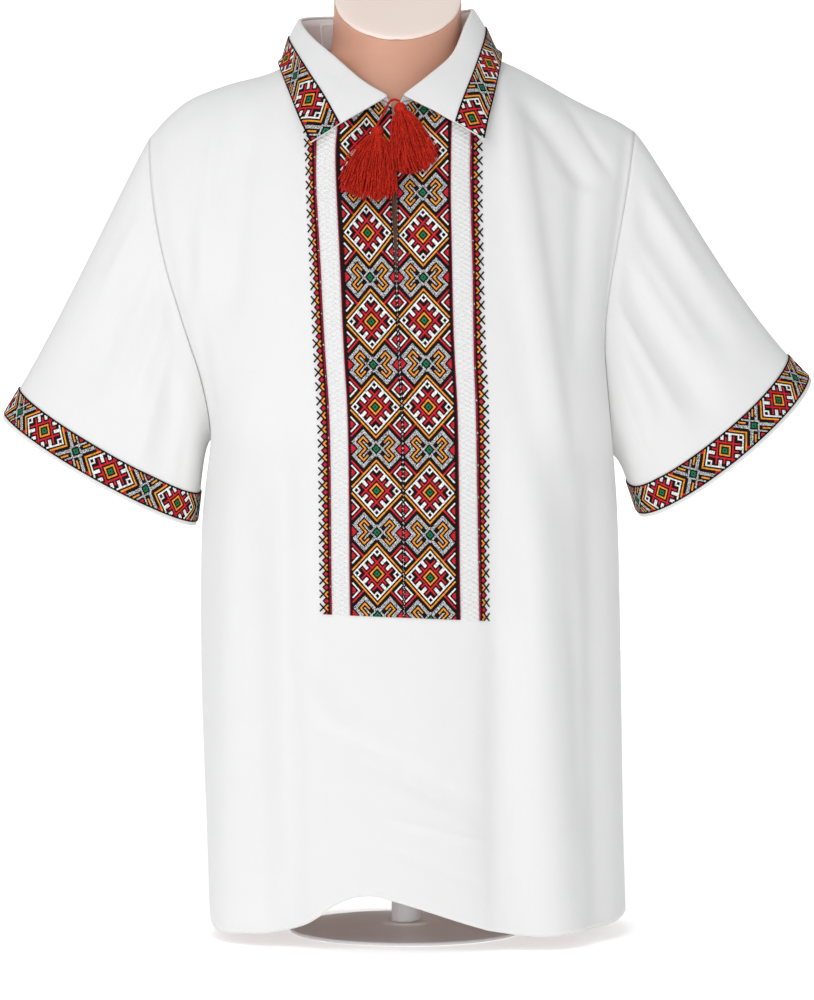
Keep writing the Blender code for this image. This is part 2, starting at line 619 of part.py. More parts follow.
NECK_AXIS = Vector((-0.018, 0.0, 0.0))
neck_rows = NECK_FRONT_LEFT[::-1] + NECK_BACK[1:-1] + NECK_FRONT_RIGHT[::-1]
neckline = [(i, *row) for i, row in enumerate(neck_rows)]
stations = [(i, *row) for i, row in enumerate(COLLAR)]


def collar_column(share):
    """Neckline, roll and outer edge at a part of the way round the collar, and the way out of the neck."""
    place = share * (len(COLLAR) - 1)
    base = Vector(smooth(neckline, place) * MM)
    station = smooth(stations, place) * MM
    roll, edge = Vector(station[:3]), Vector(station[3:])
    away = roll - NECK_AXIS
    away.z = 0.0
    return base, roll, edge, away.normalized()


def open_tree(columns):
    """A search tree over the outer face of a grid."""
    height = len(columns[0])
    points = [point for column in columns for point in column]
    quads = [(i * height + j, (i + 1) * height + j, (i + 1) * height + j + 1, i * height + j + 1)
             for i in range(len(columns) - 1) for j in range(height - 1)]
    return BVHTree.FromPolygons(points, quads)


shirt_faces = [open_tree(front), open_tree(back)]


def off_the_shirt(point):
    """Lifts a point of the collar so that its wall stays clear of the panels and of the bands on them."""
    for tree in shirt_faces:
        hit, normal, face, distance = tree.find_nearest(point)
        height = (point - hit).dot(normal)
        if height < COLLAR_CLEAR and distance < 0.03:
            point = point + normal * (COLLAR_CLEAR - height)
    return point


UP = Vector((0.0, 0.0, 1.0))
fall, stand = [], []
for i in range(COLLAR_COLUMNS):
    base, roll, edge, away = collar_column(i / (COLLAR_COLUMNS - 1))
    crest = [roll + away * out + UP * up for out, up in COLLAR_ROLL]
    width = (edge - crest[-1]).length
    band_head = 1 - COLLAR_BAND_WIDTH / width
    for share in (band_head / 2, band_head, (1 + band_head) / 2, 1.0):
        bulge = away * COLLAR_BULGE * 4 * share * (1 - share)
        crest.append(crest[2].lerp(edge, share) + bulge)
    fall.append(crest)
    foot = base - away * STAND_SET_IN + UP * STAND_FOOT_UP
    head = roll - UP * STAND_HEAD_DOWN
    head.z = max(head.z, foot.z + STAND_LEAST)
    stand.append([head, foot.lerp(head, 0.5), foot])
fall = [crest[:2] + [off_the_shirt(point) for point in crest[2:]] for crest in fall]
sheet("collar_fall", fall, CLOTH, cotton)
raised = moved_out(fall, BAND_RAISE)
sheet("collar_band", drawn_in(part_of(raised, 0, COLLAR_COLUMNS - 1, 4, 6), SEAM_GAP), BAND, embroidery)
sheet("collar_stand", stand, CLOTH, cotton)
inside = moved_out(stand, -(CLOTH + SEAM_GAP + LABEL_WALL))
label = drawn_in(part_of(inside, LABEL_FROM, LABEL_TO, 0, 2), LABEL_SET_IN)
sheet("neck_label", label[::-1], LABEL_WALL, cotton)

# ---- the torso form ------------------------------------------------------------------------------

def shoulder_reach(height, side):
    """Half-width of the form at a height where it carries the shoulders."""
    rows = SHOULDER_LEFT[::-1] if side < 0 else SHOULDER_RIGHT
    spots = np.linspace(rows[0].x, rows[-1].x, 60)
    levels = np.array([shoulder_z(x * MM, side) for x in spots])
    reach = np.interp(-(height + FORM_CLEAR), -levels, spots * MM)
    return max(reach, FORM_REACH[0]) if side < 0 else min(reach, FORM_REACH[1])


def ring_points(ring):
    """A ring of the form: half an ellipse for the front and half for the back."""
    points = []
    for i in range(FORM_POINTS):
        turn = 2 * math.pi * i / FORM_POINTS
        across, forward = math.cos(turn), -math.sin(turn)
        x = (ring.left + ring.right) / 2 + (ring.right - ring.left) / 2 * across
        y = forward * (ring.front if forward < 0 else ring.back)
        points.append(Vector((x, y, ring.height + ring.slope * y)) * MM)
    return points


def shoulder_points(height):
    """A ring between chest and neck: the neck's ring drawn out to the shoulders in ever narrower ridges."""
    chest, neck = FORM[-1], FORM_NECK[0]
    share = (height - chest.height) / (neck.height - chest.height)
    sharpness = RIDGE_SHARPNESS[0] + (RIDGE_SHARPNESS[1] - RIDGE_SHARPNESS[0]) * share ** 2
    points = ring_points(neck._replace(height=height))
    for i, point in enumerate(points):
        along = math.cos(2 * math.pi * i / FORM_POINTS)
        side = 1 if along > 0 else -1
        reach = shoulder_reach(height * MM, side) - (neck.right if side > 0 else neck.left) * MM
        point.x += reach * abs(along) ** sharpness
        point.y *= 1 + (1 - share) * (chest.front / neck.front - 1)
    return points


def loft(name, rings, finish):
    """A solid through closed rings of equal length, from the lowest ring up."""
    shape = bmesh.new()
    loops = [[shape.verts.new(point) for point in ring] for ring in rings]
    for low, high in zip(loops, loops[1:]):
        for i in range(len(low)):
            j = (i + 1) % len(low)
            shape.faces.new((low[i], high[i], high[j], low[j]))
    shape.faces.new(loops[0])
    shape.faces.new(loops[-1][::-1])
    bmesh.ops.recalc_face_normals(shape, faces=shape.faces)
    mesh = bpy.data.meshes.new(name)
    shape.to_mesh(mesh)
    shape.free()
    mesh.shade_smooth()
    mesh.set_sharp_from_angle(angle=math.radians(50))
    return add_object(name, mesh, finish)


bpy.context.view_layer.update()
depsgraph = bpy.context.evaluated_depsgraph_get()


def tree_of(name):
    """A search tree over a finished piece, in the shirt's own frame."""
    evaluated = bpy.data.objects[name].evaluated_get(depsgraph)
    shape = bmesh.new()
    shape.from_mesh(evaluated.to_mesh())
    tree = BVHTree.FromBMesh(shape)
    shape.free()
    return tree


inner_walls = [tree_of(name) for name in ("front_panel", "back_panel", "collar_stand")]


def inside_shirt(point):
    """Draws a point of the form back from the cloth, along the level line from the form's middle."""
    start = Vector((min(max(point.x, -0.05), 0.04) * 0.9, 0.0, point.z))
    way = point - start
    on_ridge = abs(point.y) < 0.0001 and FORM_TIGHT_ABOVE < point.z < FORM_NECK[0].height * MM
    if on_ridge:
        return point
    clear = FORM_LEVEL_CLEAR if point.z > FORM_TIGHT_ABOVE else FORM_LOOSE_CLEAR
    reach = way.length
    for tree in inner_walls:
        hit = tree.ray_cast(start, way.normalized(), 0.5)
        if hit[0] is not None:
            reach = min(reach, hit[3])
    spot = start + way.normalized() * reach
    while reach > FORM_STEP and min(tree.find_nearest(spot)[3] for tree in inner_walls) < clear:
        reach -= FORM_STEP
        spot = start + way.normalized() * reach
    return spot


rings = [ring_points(ring) for ring in FORM]
rings += [shoulder_points(height) for height in FORM_SHOULDER_HEIGHTS]
rings += [ring_points(ring) for ring in FORM_NECK]
loft("torso_form", [[inside_shirt(point) for point in ring] for ring in rings], skin)

neck_top_ring = FORM_NECK[-1]
CAP_PROFILE = [(0.0, 0.8), (CAP_THICKNESS * 0.6, 0.8), (CAP_THICKNESS, 3.0), (CAP_THICKNESS + 0.6, 20.0)]
cap = [neck_top_ring._replace(height=neck_top_ring.height + CAP_GAP + rise, left=neck_top_ring.left + inset,
                              right=neck_top_ring.right - inset, front=neck_top_ring.front - inset,
                              back=neck_top_ring.back - inset)
       for rise, inset in CAP_PROFILE]
loft("neck_cap", [ring_points(ring) for ring in cap], pale)


def turned(name, rows, finish):
    """A round piece about the upright axis, from the profile of its outer side."""
    profile = bmesh.new()
    marks = [profile.verts.new((row.radius * MM, 0.0, row.height * MM)) for row in rows]
    for upper, lower in zip(marks, marks[1:]):
        profile.edges.new((upper, lower))
    mesh = bpy.data.meshes.new(name)
    profile.to_mesh(mesh)
    profile.free()
    piece = add_object(name, mesh, finish)
    piece.location = (0.0, 0.0, 0.0)
    turn = piece.modifiers.new("turn", "SCREW")
    turn.steps = 32
    turn.render_steps = 32
    turn.use_merge_vertices = True
    turn.merge_threshold = 0.0001
    turn.use_smooth_shade = True


turned("stand_post", STAND_POST, pale)
turned("stand_base", STAND_BASE, pale)

# ---- tie cord and tassels ------------------------------------------------------------------------

outer_walls = [tree_of(name) for name in ("front_panel", "placket_left", "placket_right", "collar_stand")]


def chest_y(x, z):
    """How far forward the shirt's front reaches at a place of the front view."""
    reached = [tree.ray_cast(Vector((x, -1.0, z)), Vector((0.0, 1.0, 0.0)))[0] for tree in outer_walls]
    return min([hit.y for hit in reached if hit is not None] or [0.0])


def tie_route(marks, count):
    """Points along a smooth curve through the cord's marks."""
    rows = [(i, x * MM, y * MM, z * MM) for i, (x, y, z) in enumerate(marks)]
    return [Vector(smooth(rows, i * (len(marks) - 1) / (count - 1))) for i in range(count)]


def tube(name, points, diameter, finish):
    curve = bpy.data.curves.new(name, "CURVE")
    curve.dimensions = "3D"
    curve.bevel_depth = diameter / 2
    curve.bevel_resolution = 2
    curve.use_fill_caps = True
    spline = curve.splines.new("POLY")
    spline.points.add(len(points) - 1)
    for spot, point in zip(spline.points, points):
        spot.co = (*point, 1.0)
    return add_object(name, curve, finish)


tube("tie_cord", tie_route(TIE, 14), TIE_DIAMETER, yarn)


def tassel(row):
    """A wound head with a skirt of yarns drawn out of its lower faces, lying on the chest."""
    head = Vector((row.head_x * MM, 0.0, row.head_z * MM))
    foot = Vector((row.foot_x * MM, 0.0, row.foot_z * MM))
    head.y = chest_y(head.x, head.z) - TASSEL_HEAD * HEAD_FLATNESS - HEAD_CLEAR
    foot.y = chest_y(foot.x, foot.z) - row.lift * MM
    down = (foot - head).normalized()
    across = down.cross(Vector((0.0, -1.0, 0.0))).normalized()
    outward = across.cross(down).normalized()
    if outward.y > 0:
        outward = -outward
    length = (foot - head).length
    shape = bmesh.new()
    bmesh.ops.create_uvsphere(shape, u_segments=STRANDS_ROUND, v_segments=8, radius=TASSEL_HEAD)
    for vert in shape.verts:
        vert.co.y *= HEAD_FLATNESS
    lower = [face for face in shape.faces if face.calc_center_median().z < -0.1 * TASSEL_HEAD]
    bmesh.ops.inset_individual(shape, faces=lower, thickness=0.0002)
    for face in lower:
        start = face.calc_center_median()
        side, rise = start.x / TASSEL_HEAD, -start.y / TASSEL_HEAD
        spread = row.spread * MM * math.copysign(abs(side) ** 0.75, side)
        tail = Vector((spread, -rise * SKIRT_DEPTH, -length * (1 - 0.10 * abs(side))))
        current = face
        for share, size in STRAND_STEPS:
            flare = share ** 0.7
            goal = Vector((start.x + (tail.x - start.x) * flare, start.y + (tail.y - start.y) * share,
                           start.z + (tail.z - start.z) * share))
            made = bmesh.ops.extrude_discrete_faces(shape, faces=[current])["faces"][0]
            centre = made.calc_center_median()
            for vert in made.verts:
                vert.co = goal + (vert.co - centre) * size
            current = made
    for vert in shape.verts:
        local = vert.co.copy()
        vert.co = head + across * local.x + outward * -local.y + down * -local.z
    if shape.calc_volume(signed=True) < 0:
        bmesh.ops.reverse_faces(shape, faces=shape.faces)
    mesh = bpy.data.meshes.new(row.name)
    shape.to_mesh(mesh)
    shape.free()
    add_object(row.name, mesh, yarn)


for row in TASSELS:
    tassel(row)
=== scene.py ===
"""A man's vyshyvanka: a short-sleeved shirt of white cotton with cross-stitched bands, on a torso form.

The shirt faces -Y. The tables of its lines, folds, pitches, cuffs and tassels are in millimetres, and
single sizes are in metres.
"""

import math
from collections import namedtuple

import bmesh
import bpy
import numpy as np
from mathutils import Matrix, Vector
from mathutils.bvhtree import BVHTree


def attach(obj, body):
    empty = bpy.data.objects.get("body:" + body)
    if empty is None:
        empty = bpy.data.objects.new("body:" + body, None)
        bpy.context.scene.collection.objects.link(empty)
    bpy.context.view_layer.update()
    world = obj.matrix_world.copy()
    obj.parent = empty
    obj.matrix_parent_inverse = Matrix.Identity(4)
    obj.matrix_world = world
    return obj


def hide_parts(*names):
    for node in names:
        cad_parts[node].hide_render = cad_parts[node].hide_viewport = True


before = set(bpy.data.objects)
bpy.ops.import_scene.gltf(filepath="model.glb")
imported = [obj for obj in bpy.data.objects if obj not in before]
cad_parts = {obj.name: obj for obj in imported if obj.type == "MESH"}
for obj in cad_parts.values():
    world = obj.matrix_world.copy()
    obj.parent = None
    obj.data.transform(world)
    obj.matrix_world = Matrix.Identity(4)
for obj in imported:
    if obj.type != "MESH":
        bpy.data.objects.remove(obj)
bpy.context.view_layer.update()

# ---- Studio ----------------------------------------------------------------------------------
# A pale floor that runs up into a white backdrop, three broad soft lights and a bright white room.
# The camera stands level with the middle of the shirt, 2.8 m in front of it.

MM = 0.001
SHIRT_MIDDLE = Vector((0.0005, 0.0110, 0.0))   # where the shirt's own axis stands on the floor
CAMERA_DISTANCE = 2.8
CAMERA_HEIGHT = 0.402
LENS = 107.2
PAPER_WHITE = (0.93, 0.93, 0.93)
PAPER_GLOW, BACKDROP_GLOW = 0.50, 0.80
ROOM_COLOUR, ROOM_LIGHT = (0.97, 0.98, 1.0, 1.0), 0.40


def table(kind, *rows):
    """A table's rows, with their columns' names."""
    return [kind(*row) for row in rows]


Light = namedtuple("Light", "name place aim size power")
LIGHTS = table(
    Light,
    ("key_light", (-1.9, -2.6, 1.9), (0.0, 0.0, 0.45), (1.8, 1.8), 12.0),
    ("fill_light", (-0.5, -3.4, 0.25), (0.0, 0.0, 0.40), (1.6, 1.2), 34.0),
    ("top_light", (-0.5, -1.0, 2.8), (0.0, 0.0, 0.80), (1.8, 1.0), 15.0),
)


def plain_material(name, colour, roughness, sheen=0.0, shine=0.5):
    """A finish with its steady values set on the shader's own sockets; half is a usual shine."""
    finish = bpy.data.materials.new(name)
    finish.use_nodes = True
    shader = finish.node_tree.nodes["Principled BSDF"]
    shader.inputs["Base Color"].default_value = (*colour, 1.0)
    shader.inputs["Roughness"].default_value = roughness
    shader.inputs["Sheen Weight"].default_value = sheen
    shader.inputs["Specular IOR Level"].default_value = shine
    return finish


def paper_material(name, glow):
    """White studio paper, lit a little from behind so that it stays white."""
    paper = plain_material(name, PAPER_WHITE, roughness=0.9)
    shader = paper.node_tree.nodes["Principled BSDF"]
    shader.inputs["Emission Color"].default_value = (1.0, 1.0, 1.0, 1.0)
    shader.inputs["Emission Strength"].default_value = glow
    return paper


def floor_and_backdrop():
    """One sheet: level floor, a round bend and an upright backdrop behind."""
    near, reach, bend, height, half_width = -7.0, 5.2, 1.2, 5.0, 6.5
    profile = [(near, 0.0), (reach, 0.0)]
    for turn in np.linspace(0.1, math.pi / 2, 12):
        profile.append((reach + bend * math.sin(turn), bend - bend * math.cos(turn)))
    profile.append((reach + bend, height))
    points = [(x, y, z) for y, z in profile for x in (-half_width, half_width)]
    quads = [(2 * i, 2 * i + 1, 2 * i + 3, 2 * i + 2) for i in range(len(profile) - 1)]
    mesh = bpy.data.meshes.new("studio_floor")
    mesh.from_pydata(points, [], quads)
    mesh.shade_smooth()
    floor = bpy.data.objects.new("studio_floor", mesh)
    mesh.materials.append(paper_material("studio_paper", PAPER_GLOW))
    mesh.materials.append(paper_material("backdrop_paper", BACKDROP_GLOW))
    mesh.polygons.foreach_set("material_index", [0] + [1] * (len(quads) - 1))
    bpy.context.scene.collection.objects.link(floor)


def soft_light(name, place, aim, size, power):
    """A broad lamp at a place, turned towards its aim."""
    lamp = bpy.data.lights.new(name, "AREA")
    lamp.shape = "RECTANGLE"
    lamp.size, lamp.size_y = size
    lamp.energy = power
    light = bpy.data.objects.new(name, lamp)
    light.location = place
    light.rotation_euler = (Vector(aim) - Vector(place)).to_track_quat("-Z", "Y").to_euler()
    bpy.context.scene.collection.objects.link(light)


floor_and_backdrop()
for light in LIGHTS:
    soft_light(*light)
room = bpy.data.worlds.new("white_room")
room.use_nodes = True
background = room.node_tree.nodes["Background"]
background.inputs["Color"].default_value = ROOM_COLOUR
background.inputs["Strength"].default_value = ROOM_LIGHT
bpy.context.scene.world = room
bpy.context.scene.view_settings.view_transform = "Standard"

camera = bpy.data.objects.new("camera", bpy.data.cameras.new("camera"))
camera.data.lens = LENS
camera.location = SHIRT_MIDDLE + Vector((0.0, -CAMERA_DISTANCE, CAMERA_HEIGHT))
camera.rotation_euler = (math.pi / 2, 0.0, 0.0)
bpy.context.scene.collection.objects.link(camera)
bpy.context.scene.camera = camera

# ---- Tie cord --------------------------------------------------------------------------------
# The shirt's tie is a short red cord of three twisted yarns. It comes out beside the upper tassel
# at the head of the slit and drops to the lower tassel.

TIE = [(-6.5, -94.6, 764.2), (-11, -93.7, 766), (-15.5, -93, 764.5), (-18.5, -93, 759), (-21, -95, 753),
       (-24, -97, 747.5), (-26.8, -101.8, 741.7)]
TIE_DIAMETER = 0.0024
TIE_PLIES, TIE_PITCH = 3, 0.006     # yarns in the cord, and the length of one twist
TIE_POINTS, PLY_SIDES = 49, 8
SLANT = (0.3, 0.9, 0.2)             # a direction that neither the tie nor a yarn runs in
YARN_FIBRES = 900.0


def spline(values, keys, places):
    """Rows of an array read at new places between their keys, as smooth curves through them."""
    values, keys, places = np.asarray(values, float), np.asarray(keys, float), np.asarray(places, float)
    slopes = np.gradient(values, keys, axis=0)
    i = np.clip(np.searchsorted(keys, places, side="right") - 1, 0, len(keys) - 2)
    shape = (-1,) + (1,) * (values.ndim - 1)
    span = (keys[i + 1] - keys[i]).reshape(shape)
    t = np.clip((places - keys[i]).reshape(shape) / span, 0.0, 1.0)
    start = (1 + 2 * t) * (1 - t) ** 2 * values[i] + t * (1 - t) ** 2 * span * slopes[i]
    return start + t * t * (3 - 2 * t) * values[i + 1] + t * t * (t - 1) * span * slopes[i + 1]


def piece(name, points, faces, materials, indices=None):
    """A smooth-shaded mesh object; indices give each face's material."""
    mesh = bpy.data.meshes.new(name)
    mesh.from_pydata([tuple(point) for point in points], [], faces)
    for finish in materials:
        mesh.materials.append(finish)
    if indices is not None:
        mesh.polygons.foreach_set("material_index", indices)
    mesh.shade_smooth()
    mesh.update()
    made = bpy.data.objects.new(name, mesh)
    bpy.context.scene.collection.objects.link(made)
    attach(made, "root")
    return made


def unit(vectors):
    """Vectors of length 1 in the same directions."""
    return vectors / np.linalg.norm(vectors, axis=-1)[..., None]


def run_of(line):
    """How far along a line of points each of them lies."""
    return np.concatenate(([0.0], np.cumsum(np.linalg.norm(np.diff(line, axis=0), axis=1))))


def across_path(path):
    """Two unit directions across a path, at right angles to one another."""
    along = unit(np.gradient(path, axis=0))
    across = unit(np.cross(along, SLANT))
    return across, np.cross(along, across)


def tube(path, radii, sides):
    """Points and faces of a round tube along a path, closed at both ends."""
    path = np.asarray(path, float)
    across, other = across_path(path)
    turns = (np.arange(sides) * 2 * math.pi / sides)[:, None]
    ring = np.cos(turns) * across[:, None] + np.sin(turns) * other[:, None]
    points = (path[:, None] + ring * np.asarray(radii)[:, None, None]).reshape(-1, 3)
    faces = []
    for i in range(len(path) - 1):
        for j in range(sides):
            k = (j + 1) % sides
            faces.append((i * sides + j, i * sides + k, (i + 1) * sides + k, (i + 1) * sides + j))
    faces.append(tuple(range(sides))[::-1])
    faces.append(tuple((len(path) - 1) * sides + j for j in range(sides)))
    return points, faces


def joined(parts):
    """Several lists of points and faces as one."""
    points, faces, start = [], [], 0
    for some_points, some_faces in parts:
        points.extend(some_points)
        faces.extend(tuple(v + start for v in face) for face in some_faces)
        start += len(some_points)
    return points, faces


def twisted_yarns(path, diameter, plies, pitch):
    """Plies wound round a path, each a tube."""
    path = np.asarray(path, float)
    run = run_of(path)
    across, other = across_path(path)
    ply_radius = diameter / 4
    made = []
    for ply in range(plies):
        turn = 2 * math.pi * (run / pitch + ply / plies)
        offset = np.cos(turn)[:, None] * across + np.sin(turn)[:, None] * other
        made.append(tube(path + offset * ply_radius, np.full(len(path), ply_radius), PLY_SIDES))
    return joined(made)


def uneven(finish, scale, detail, roughness=0.5):
    """A soft unevenness through a piece, from 0 to 1, which grows finer with its scale."""
    nodes = finish.node_tree.nodes
    place = nodes.new("ShaderNodeTexCoord")
    noise = nodes.new("ShaderNodeTexNoise")
    noise.inputs["Scale"].default_value = scale
    noise.inputs["Detail"].default_value = detail
    noise.inputs["Roughness"].default_value = roughness
    finish.node_tree.links.new(place.outputs["Object"], noise.inputs["Vector"])
    return noise.outputs["Fac"]


def dyed(finish, height, low, low_colour, high, high_colour):
    """Colours a finish by an unevenness, from one colour where it is low to the other where it is high."""
    nodes, links = finish.node_tree.nodes, finish.node_tree.links
    dye = nodes.new("ShaderNodeValToRGB")
    for stop, position, colour in zip(dye.color_ramp.elements, (low, high), (low_colour, high_colour)):
        stop.position = position
        stop.color = (*colour, 1.0)
    links.new(height, dye.inputs["Fac"])
    links.new(dye.outputs["Color"], nodes["Principled BSDF"].inputs["Base Color"])


def bumped(finish, height, strength, depth):
    """Raises a finish by an unevenness, on top of any that it already has."""
    nodes, links = finish.node_tree.nodes, finish.node_tree.links
    normal = nodes["Principled BSDF"].inputs["Normal"]
    bump = nodes.new("ShaderNodeBump")
    bump.inputs["Strength"].default_value = strength
    bump.inputs["Distance"].default_value = depth
    if normal.is_linked:
        links.new(normal.links[0].from_socket, bump.inputs["Normal"])
    links.new(height, bump.inputs["Height"])
    links.new(bump.outputs["Normal"], normal)


def yarn_material(name, colour, painted_shade):
    """Soft wool-like yarn: fibres as fine bump, and painted shade between the plies, laid on as an uneven
    darker tone.
    """
    finish = plain_material(name, colour, roughness=0.85, shine=0.10)
    fibres = uneven(finish, YARN_FIBRES, detail=4.0)
    dyed(finish, fibres, low=0.36, low_colour=painted_shade, high=0.62, high_colour=colour)
    bumped(finish, fibres, strength=0.35, depth=0.0004)
    return finish


# The yarn's second, darker colour is painted shade for the gaps between the plies and strands.
red_yarn = yarn_material("red_yarn", (0.72, 0.038, 0.017), (0.28, 0.008, 0.005))
tie_marks = np.array(TIE) * MM + np.array(SHIRT_MIDDLE)
tie_path = spline(tie_marks, np.arange(len(TIE)), np.linspace(0, len(TIE) - 1, TIE_POINTS))
tie = piece("tie", *twisted_yarns(tie_path, TIE_DIAMETER, TIE_PLIES, TIE_PITCH), [red_yarn])
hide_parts("tie_cord")

# ---- Front ---------------------------------------------------------------------------------------
# The front is one panel of white plain-weave cotton, slit open at the throat. It hangs from the
# shoulder seams in soft upright folds, and its hem is turned up and stitched.

CLOTH = 0.0011
CLOTH_PITCH = 0.0036      # spacing of the mesh on open cloth
COTTON_WHITE = (0.82, 0.818, 0.812)
WEAVE_FINENESS, WEAVE_WAVER, CRUMPLES = 480.0, 0.6, 26.0
ARM_LEVEL, ARM_TILT = 0.452, -0.04
BAND_FOOT = 0.2965
SLIT_FOOT = 0.598
BODY_POWER, SHOULDER_POWER, THROAT_POWER = 2.4, 2.4, 2.2
ARMHOLE_SWELL = 0.052
# A column rounds off like a shoulder if its top lies no further forward or back than the first of
# these, and runs straight up like a throat or a nape from the second or third.
SHOULDER_DEPTH, THROAT_DEPTH, NAPE_DEPTH = 0.068, 0.090, 0.086
CLIMB_POINTS = 120
HEM_LEVEL = 0.02          # the hem's height is read for where a column stands at this level
EDGE_GAP = 0.0001
WELD_SEAMS = 0.00002      # edges closer than this are one
SEAM_FADE = (0.002, 0.045)      # the folds die out between these distances from side seams and armholes
SLIT_TURN, SLIT_TURN_RISE = 0.0009, 0.02        # the slit's edge is turned in under the placket strips

Section = namedtuple("Section", "height left right front back")
BODY = table(
    Section,
    (10, -181, 205, 152, 126), (80, -185, 203, 148, 126), (200, -191, 201, 141, 124),
    (330, -193, 199, 136, 120), (395, -191, 197, 133, 117), (452, -184, 193, 130, 114),
)
Hem = namedtuple("Hem", "across height")
FRONT_HEM = table(
    Hem,
    (-186, 26), (-174, 14), (-140, 11), (-86, 25), (-59, 43), (-34, 49), (-6, 43), (20, 35), (47, 26),
    (74, 18), (105, 12), (141, 13), (170, 13), (187, 14), (206, 21),
)
BACK_HEM = table(Hem, (-186, 26), (-150, 16), (-60, 13), (0, 14), (80, 13), (160, 14), (206, 21))
Neckline = namedtuple("Neckline", "x y z")
NECK_FRONT_LEFT = table(
    Neckline,
    (-101, 0, 816), (-88, -34, 806), (-64, -64, 789), (-38, -82, 773), (-14, -89, 762),
)
NECK_FRONT_RIGHT = table(
    Neckline,
    (-6, -89, 763), (17, -78, 772), (42, -54, 790), (58, -26, 808), (67, 0, 822),
)
NECK_BACK = table(
    Neckline,
    (-101, 0, 816), (-92, 38, 822), (-64, 68, 830), (-18, 84, 834), (28, 68, 834), (57, 36, 830),
    (67, 0, 822),
)
Shoulder = namedtuple("Shoulder", "x z")
SHOULDER_LEFT = table(
    Shoulder,
    (-242, 742), (-228, 758), (-213, 772), (-185, 786), (-157, 795), (-129, 802), (-101, 816),
)
SHOULDER_RIGHT = table(
    Shoulder,
    (67, 822), (97, 810), (125, 796), (153, 780), (181, 766), (200, 757), (214, 748),
)
Armhole = namedtuple("Armhole", "height across")
ARMHOLE_LEFT = table(
    Armhole,
    (459, -183), (495, -186), (557, -204), (614, -222), (690, -237), (742, -242),
)
ARMHOLE_RIGHT = table(Armhole, (444, 193), (494, 187), (560, 183), (600, 188), (681, 203), (748, 214))
# The slit's line, and how far from it the edges of the sewn-on bands run at four heights; neck is
# where each meets the neckline.
SlitLine = namedtuple("SlitLine", "height across")
SLIT_LINE = table(
    SlitLine,
    (296, -2.5), (334, -3.0), (408, -3.4), (487, -4.7), (541, -7.6), (608, -9.6), (636, -10.4),
    (660, -11.2), (720, -11.8), (765, -10.0),
)
COLUMN_HEIGHTS = [310, 500, 580, 718]
Column = namedtuple("Column", "name foot chest head throat neck")
COLUMNS_LEFT = table(
    Column,
    ("slit", 0, 0, 0, 0, -14), ("mark", -12.1, -12.3, -12.5, -13.2, -26),
    ("mark", -24.2, -24.6, -25.0, -26.4, -38), ("mark", -36.3, -36.9, -37.5, -39.7, -50),
    ("placket", -48.4, -49.2, -50.0, -52.9, -62), ("hemstitch", -64.5, -65.5, -67.0, -70.6, -80),
    ("edge_band", -75.8, -77.0, -77.8, -81.0, -101),
)
COLUMNS_RIGHT = table(
    Column,
    ("slit", 0, 0, 0, 0, -6), ("mark", 12.6, 12.5, 12.5, 12.9, 6), ("mark", 25.2, 25.0, 25.0, 25.8, 18),
    ("mark", 37.8, 37.5, 37.5, 38.7, 29), ("placket", 50.4, 49.9, 50.0, 51.6, 40),
    ("hemstitch", 67.3, 66.3, 68.0, 68.7, 55), ("edge_band", 77.7, 78.6, 78.8, 80.6, 67),
)
NECK_FROM, NECK_TO = 0.722, 0.775           # here the columns bend to their places on the neckline
SLIT_WIDE_AT, SLIT_HALF_GAP = 0.670, 0.0023     # from this height the slit stands open
# Eight more columns to the side seam: how far forward or back of it they stand, as a part of the
# body's depth, and where they end along the shoulder.
SIDE_FORWARD = [0.90, 0.80, 0.68, 0.52, 0.36, 0.18, 0.016, 0.0]
SIDE_SHOULDER = [0.14, 0.28, 0.43, 0.58, 0.73, 0.87, 0.985, 1.0]
BACK_COLUMNS = 8
# Rows, as parts of the way: from the hem to the bands' foot, to the armpits, and to the top.
ROWS_BELOW_BANDS = [0.0, 0.09, 0.22, 0.4, 0.6, 0.8, 1.0]
ROWS_TO_ARMPIT = [0.25, 0.5, 0.75, 1.0]
ROWS_TO_SHOULDER = [0.1, 0.2, 0.3, 0.41, 0.52, 0.64, 0.76, 0.87, 0.95, 0.99, 1.0]

# A fold runs from its top to its foot; depth is how far it stands out (+) or in (-) of the cloth.
FOLD_BEGINS, FOLD_ENDS = (-0.25, 0.15), (0.9, 1.3)      # in parts of its length
Fold = namedtuple("Fold", "top_x top_z foot_x foot_z width depth")
FRONT_FOLDS = table(
    Fold,
    (-150, 430, -158, 10, 24, 12), (-118, 440, -106, 30, 17, -10), (112, 400, 133, 10, 26, 13),
    (84, 420, 84, 60, 16, -8), (172, 400, 176, 20, 14, -8), (20, 260, 6, 30, 40, 4),
    (88, 770, 128, 480, 12, 6), (118, 760, 158, 700, 12, -5), (160, 690, 154, 545, 10, -4),
    (-150, 730, -160, 590, 12, -5), (-205, 650, -182, 490, 10, -3), (-52, 190, 60, 130, 14, -1.2),
)


def smooth(rows, key):
    """A table's values at a key, on a smooth curve through its rows; the first column is the key."""
    values = np.array(rows, float)
    if values[0, 0] > values[-1, 0]:
        values = values[::-1]
    keys = values[:, 0]
    return spline(values, keys, [min(max(key, keys[0]), keys[-1])])[0][1:]


def ramp(value, low, high):
    """0 below low, 1 above high, with a soft passage between; for numbers and arrays."""
    t = np.clip((value - low) / (high - low), 0.0, 1.0)
    return t * t * (3 - 2 * t)


def arm_level(x):
    """The armpits' height, which falls a little towards the right."""
    return ARM_LEVEL + ARM_TILT * x


def round_section(across, power):
    """How far out a rounded section lies, from 1 in its middle to 0 at its sides."""
    return (1 - min(abs(across), 1.0) ** power) ** (1 / power)


